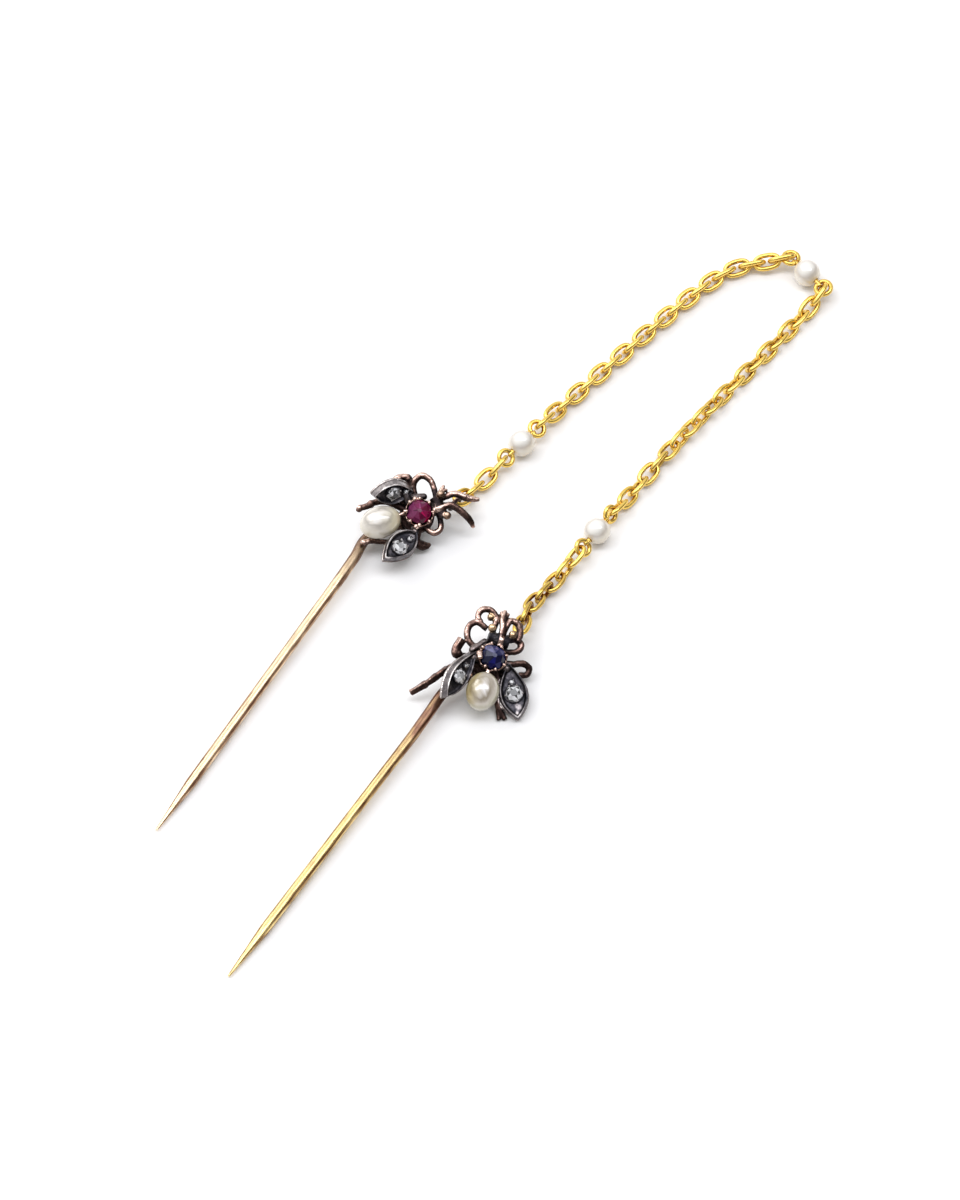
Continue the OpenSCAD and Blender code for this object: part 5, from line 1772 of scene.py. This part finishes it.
class STICKPIN_OT_body_pearls(bpy.types.Operator):
    """Make the oval pearls that are the bodies of the flies"""

    bl_idname = "stickpin.body_pearls"
    bl_label = "Body Pearls"

    def execute(self, context):
        settings = context.scene.stickpin_flies
        for number, (name, fly) in enumerate(FLIES.items()):
            at, long, wide = fly["pearl"]
            half = np.array([long * settings.pearl_length / MM, wide * settings.pearl_width / MM,
                             BODY_PEARL_HEIGHT]) / 2
            points, faces, skin = drilled_egg(half, 0.35, 0.3 - at[2])
            # Uneven growth: a slow swell across the pearl
            swell = 1 + 0.012 * np.sin(1.3 * points[:, 0] + number) * np.cos(1.1 * points[:, 1] + 2)
            points[:skin] *= swell[:skin, None] * 0.99
            reflection_tint, reflection_side = REFLECTION_TINTS[name]
            lustre = nacre(f"{name.capitalize()} fly pearl", settings.nacre, PEARL_ZONES[name],
                           turn=fly["turn"], reflection_tint=reflection_tint)
            obj = new_object("body pearl", fly_place(fly, points + np.array(at)), faces)
            mark_sides(obj, reflection_side)
            finish_piece(obj, f"{name}_body_pearl_skin", f"{name}_fly_body_pearl",
                         lustre)
        return {"FINISHED"}


# Stage


class STICKPIN_OT_stage(bpy.types.Operator):
    """Make the floor, the lights and the camera"""

    bl_idname = "stickpin.stage"
    bl_label = "Stage"

    def execute(self, context):
        settings = context.scene.stickpin_stage
        scene = context.scene
        scene.view_settings.view_transform = "Standard"
        self.floor(scene, settings)
        self.studio(scene, settings)
        self.soft_box(scene, "overhead box", (0.02, 0.03, 0.8), (1.4, 0.26), settings.overhead,
                      (0.92, 0.94, 1.0), RIGHT_ON_TABLE)
        self.soft_box(scene, "key box", (0.15, 0.72, 0.62), (0.45, 0.35), settings.key, (1.0, 0.985, 0.96))
        self.camera(scene)
        return {"FINISHED"}

    def floor(self, scene, settings):
        """Plain sheet under the pin."""
        size = 3.0
        mesh = bpy.data.meshes.new("floor")
        mesh.from_pydata([(-size, -size, 0), (size, -size, 0), (size, size, 0), (-size, size, 0)], [],
                         [(0, 1, 2, 3)])
        floor = bpy.data.objects.new("floor", mesh)
        scene.collection.objects.link(floor)
        mesh.materials.append(floor_finish(settings))

    def studio(self, scene, settings):
        """Light from all round, darker low down and in front, so that the metal has something to show."""
        world = bpy.data.worlds.new("Studio")
        scene.world = world
        world.use_nodes = True
        nodes = Nodes(world.node_tree)
        background = world.node_tree.nodes["Background"]
        facing = nodes.add("ShaderNodeVectorMath", {
            0: nodes.add("ShaderNodeTexCoord").outputs["Generated"], 1: (0.10, 0.60, 0.79)},
            operation="DOT_PRODUCT")
        light = nodes.ramp(facing.outputs["Value"], (0.0, (0.2, 0.19, 0.185)), (0.5, (1, 1, 1)))
        world.node_tree.links.new(light, background.inputs["Color"])
        background.inputs["Strength"].default_value = settings.fill

    def soft_box(self, scene, name, place, size, power, colour, long_way=None):
        """Rectangle of light that faces the pin, with its long side along a direction where one is given."""
        data = bpy.data.lights.new(name, "AREA")
        data.shape = "RECTANGLE"
        data.size, data.size_y = size
        data.energy = power
        data.color = colour
        light = bpy.data.objects.new(name, data)
        scene.collection.objects.link(light)
        light.location = place
        if long_way is None:
            light.rotation_euler = Vector(place).to_track_quat("Z", "Y").to_euler()
        else:
            out = Vector(place).normalized()
            across = out.cross(Vector(long_way)).normalized()
            light.rotation_euler = Matrix((across.cross(out), across, out)).transposed().to_euler()

    def camera(self, scene):
        """The view of the photograph: almost square-on, 9.5 of its pixels to a millimetre."""
        towards = Vector((-0.4755, -0.3207, 0.8192)).normalized()
        aim = Vector(-MIDDLE * MM)
        lens, sensor = 1000.0, 36.0
        photo_height, photo_scale = 1200, 9.5
        distance = photo_height / sensor * lens / photo_scale * MM
        data = bpy.data.cameras.new("camera")
        data.lens = lens
        data.sensor_width = sensor
        data.clip_start = 0.05
        data.clip_end = 50.0
        camera = bpy.data.objects.new("camera", data)
        scene.collection.objects.link(camera)
        camera.location = aim + towards * distance
        camera.rotation_euler = towards.to_track_quat("Z", "Y").to_euler()
        scene.camera = camera


OPERATORS = (STICKPIN_OT_stems, STICKPIN_OT_chain, STICKPIN_OT_chain_pearls, STICKPIN_OT_frames,
             STICKPIN_OT_wings, STICKPIN_OT_stones, STICKPIN_OT_body_pearls, STICKPIN_OT_stage)


class VIEW3D_PT_stickpin(bpy.types.Panel):
    """Lists the settings and the pieces of the stick pin"""

    bl_label = "Double Stick Pin"
    bl_idname = "VIEW3D_PT_stickpin"
    bl_space_type = "VIEW_3D"
    bl_region_type = "UI"
    bl_category = "Stick Pin"

    def draw(self, context):
        for key, (kind, label) in SETTINGS.items():
            box = self.layout.box()
            box.label(text=label)
            for setting in kind.__annotations__:
                box.prop(getattr(context.scene, key), setting)
        for operator in OPERATORS:
            self.layout.operator(operator.bl_idname)


SETTINGS = {
    "stickpin_stems": (StemSettings, "Stems"),
    "stickpin_chain": (ChainSettings, "Chain"),
    "stickpin_flies": (FlySettings, "Flies"),
    "stickpin_stage": (StageSettings, "Stage"),
}
CLASSES = (StemSettings, ChainSettings, FlySettings, StageSettings) + OPERATORS + (VIEW3D_PT_stickpin,)


def register():
    for item in CLASSES:
        bpy.utils.register_class(item)
    for key, (kind, label) in SETTINGS.items():
        setattr(bpy.types.Scene, key, bpy.props.PointerProperty(name=label, type=kind))


def unregister():
    for key in SETTINGS:
        delattr(bpy.types.Scene, key)
    for item in reversed(CLASSES):
        bpy.utils.unregister_class(item)


def main():
    register()
    bpy.ops.stickpin.stems()
    bpy.ops.stickpin.chain()
    bpy.ops.stickpin.chain_pearls()
    bpy.ops.stickpin.frames()
    bpy.ops.stickpin.wings()
    bpy.ops.stickpin.stones()
    bpy.ops.stickpin.body_pearls()
    bpy.ops.stickpin.stage()


if __name__ == "__main__":
    main()
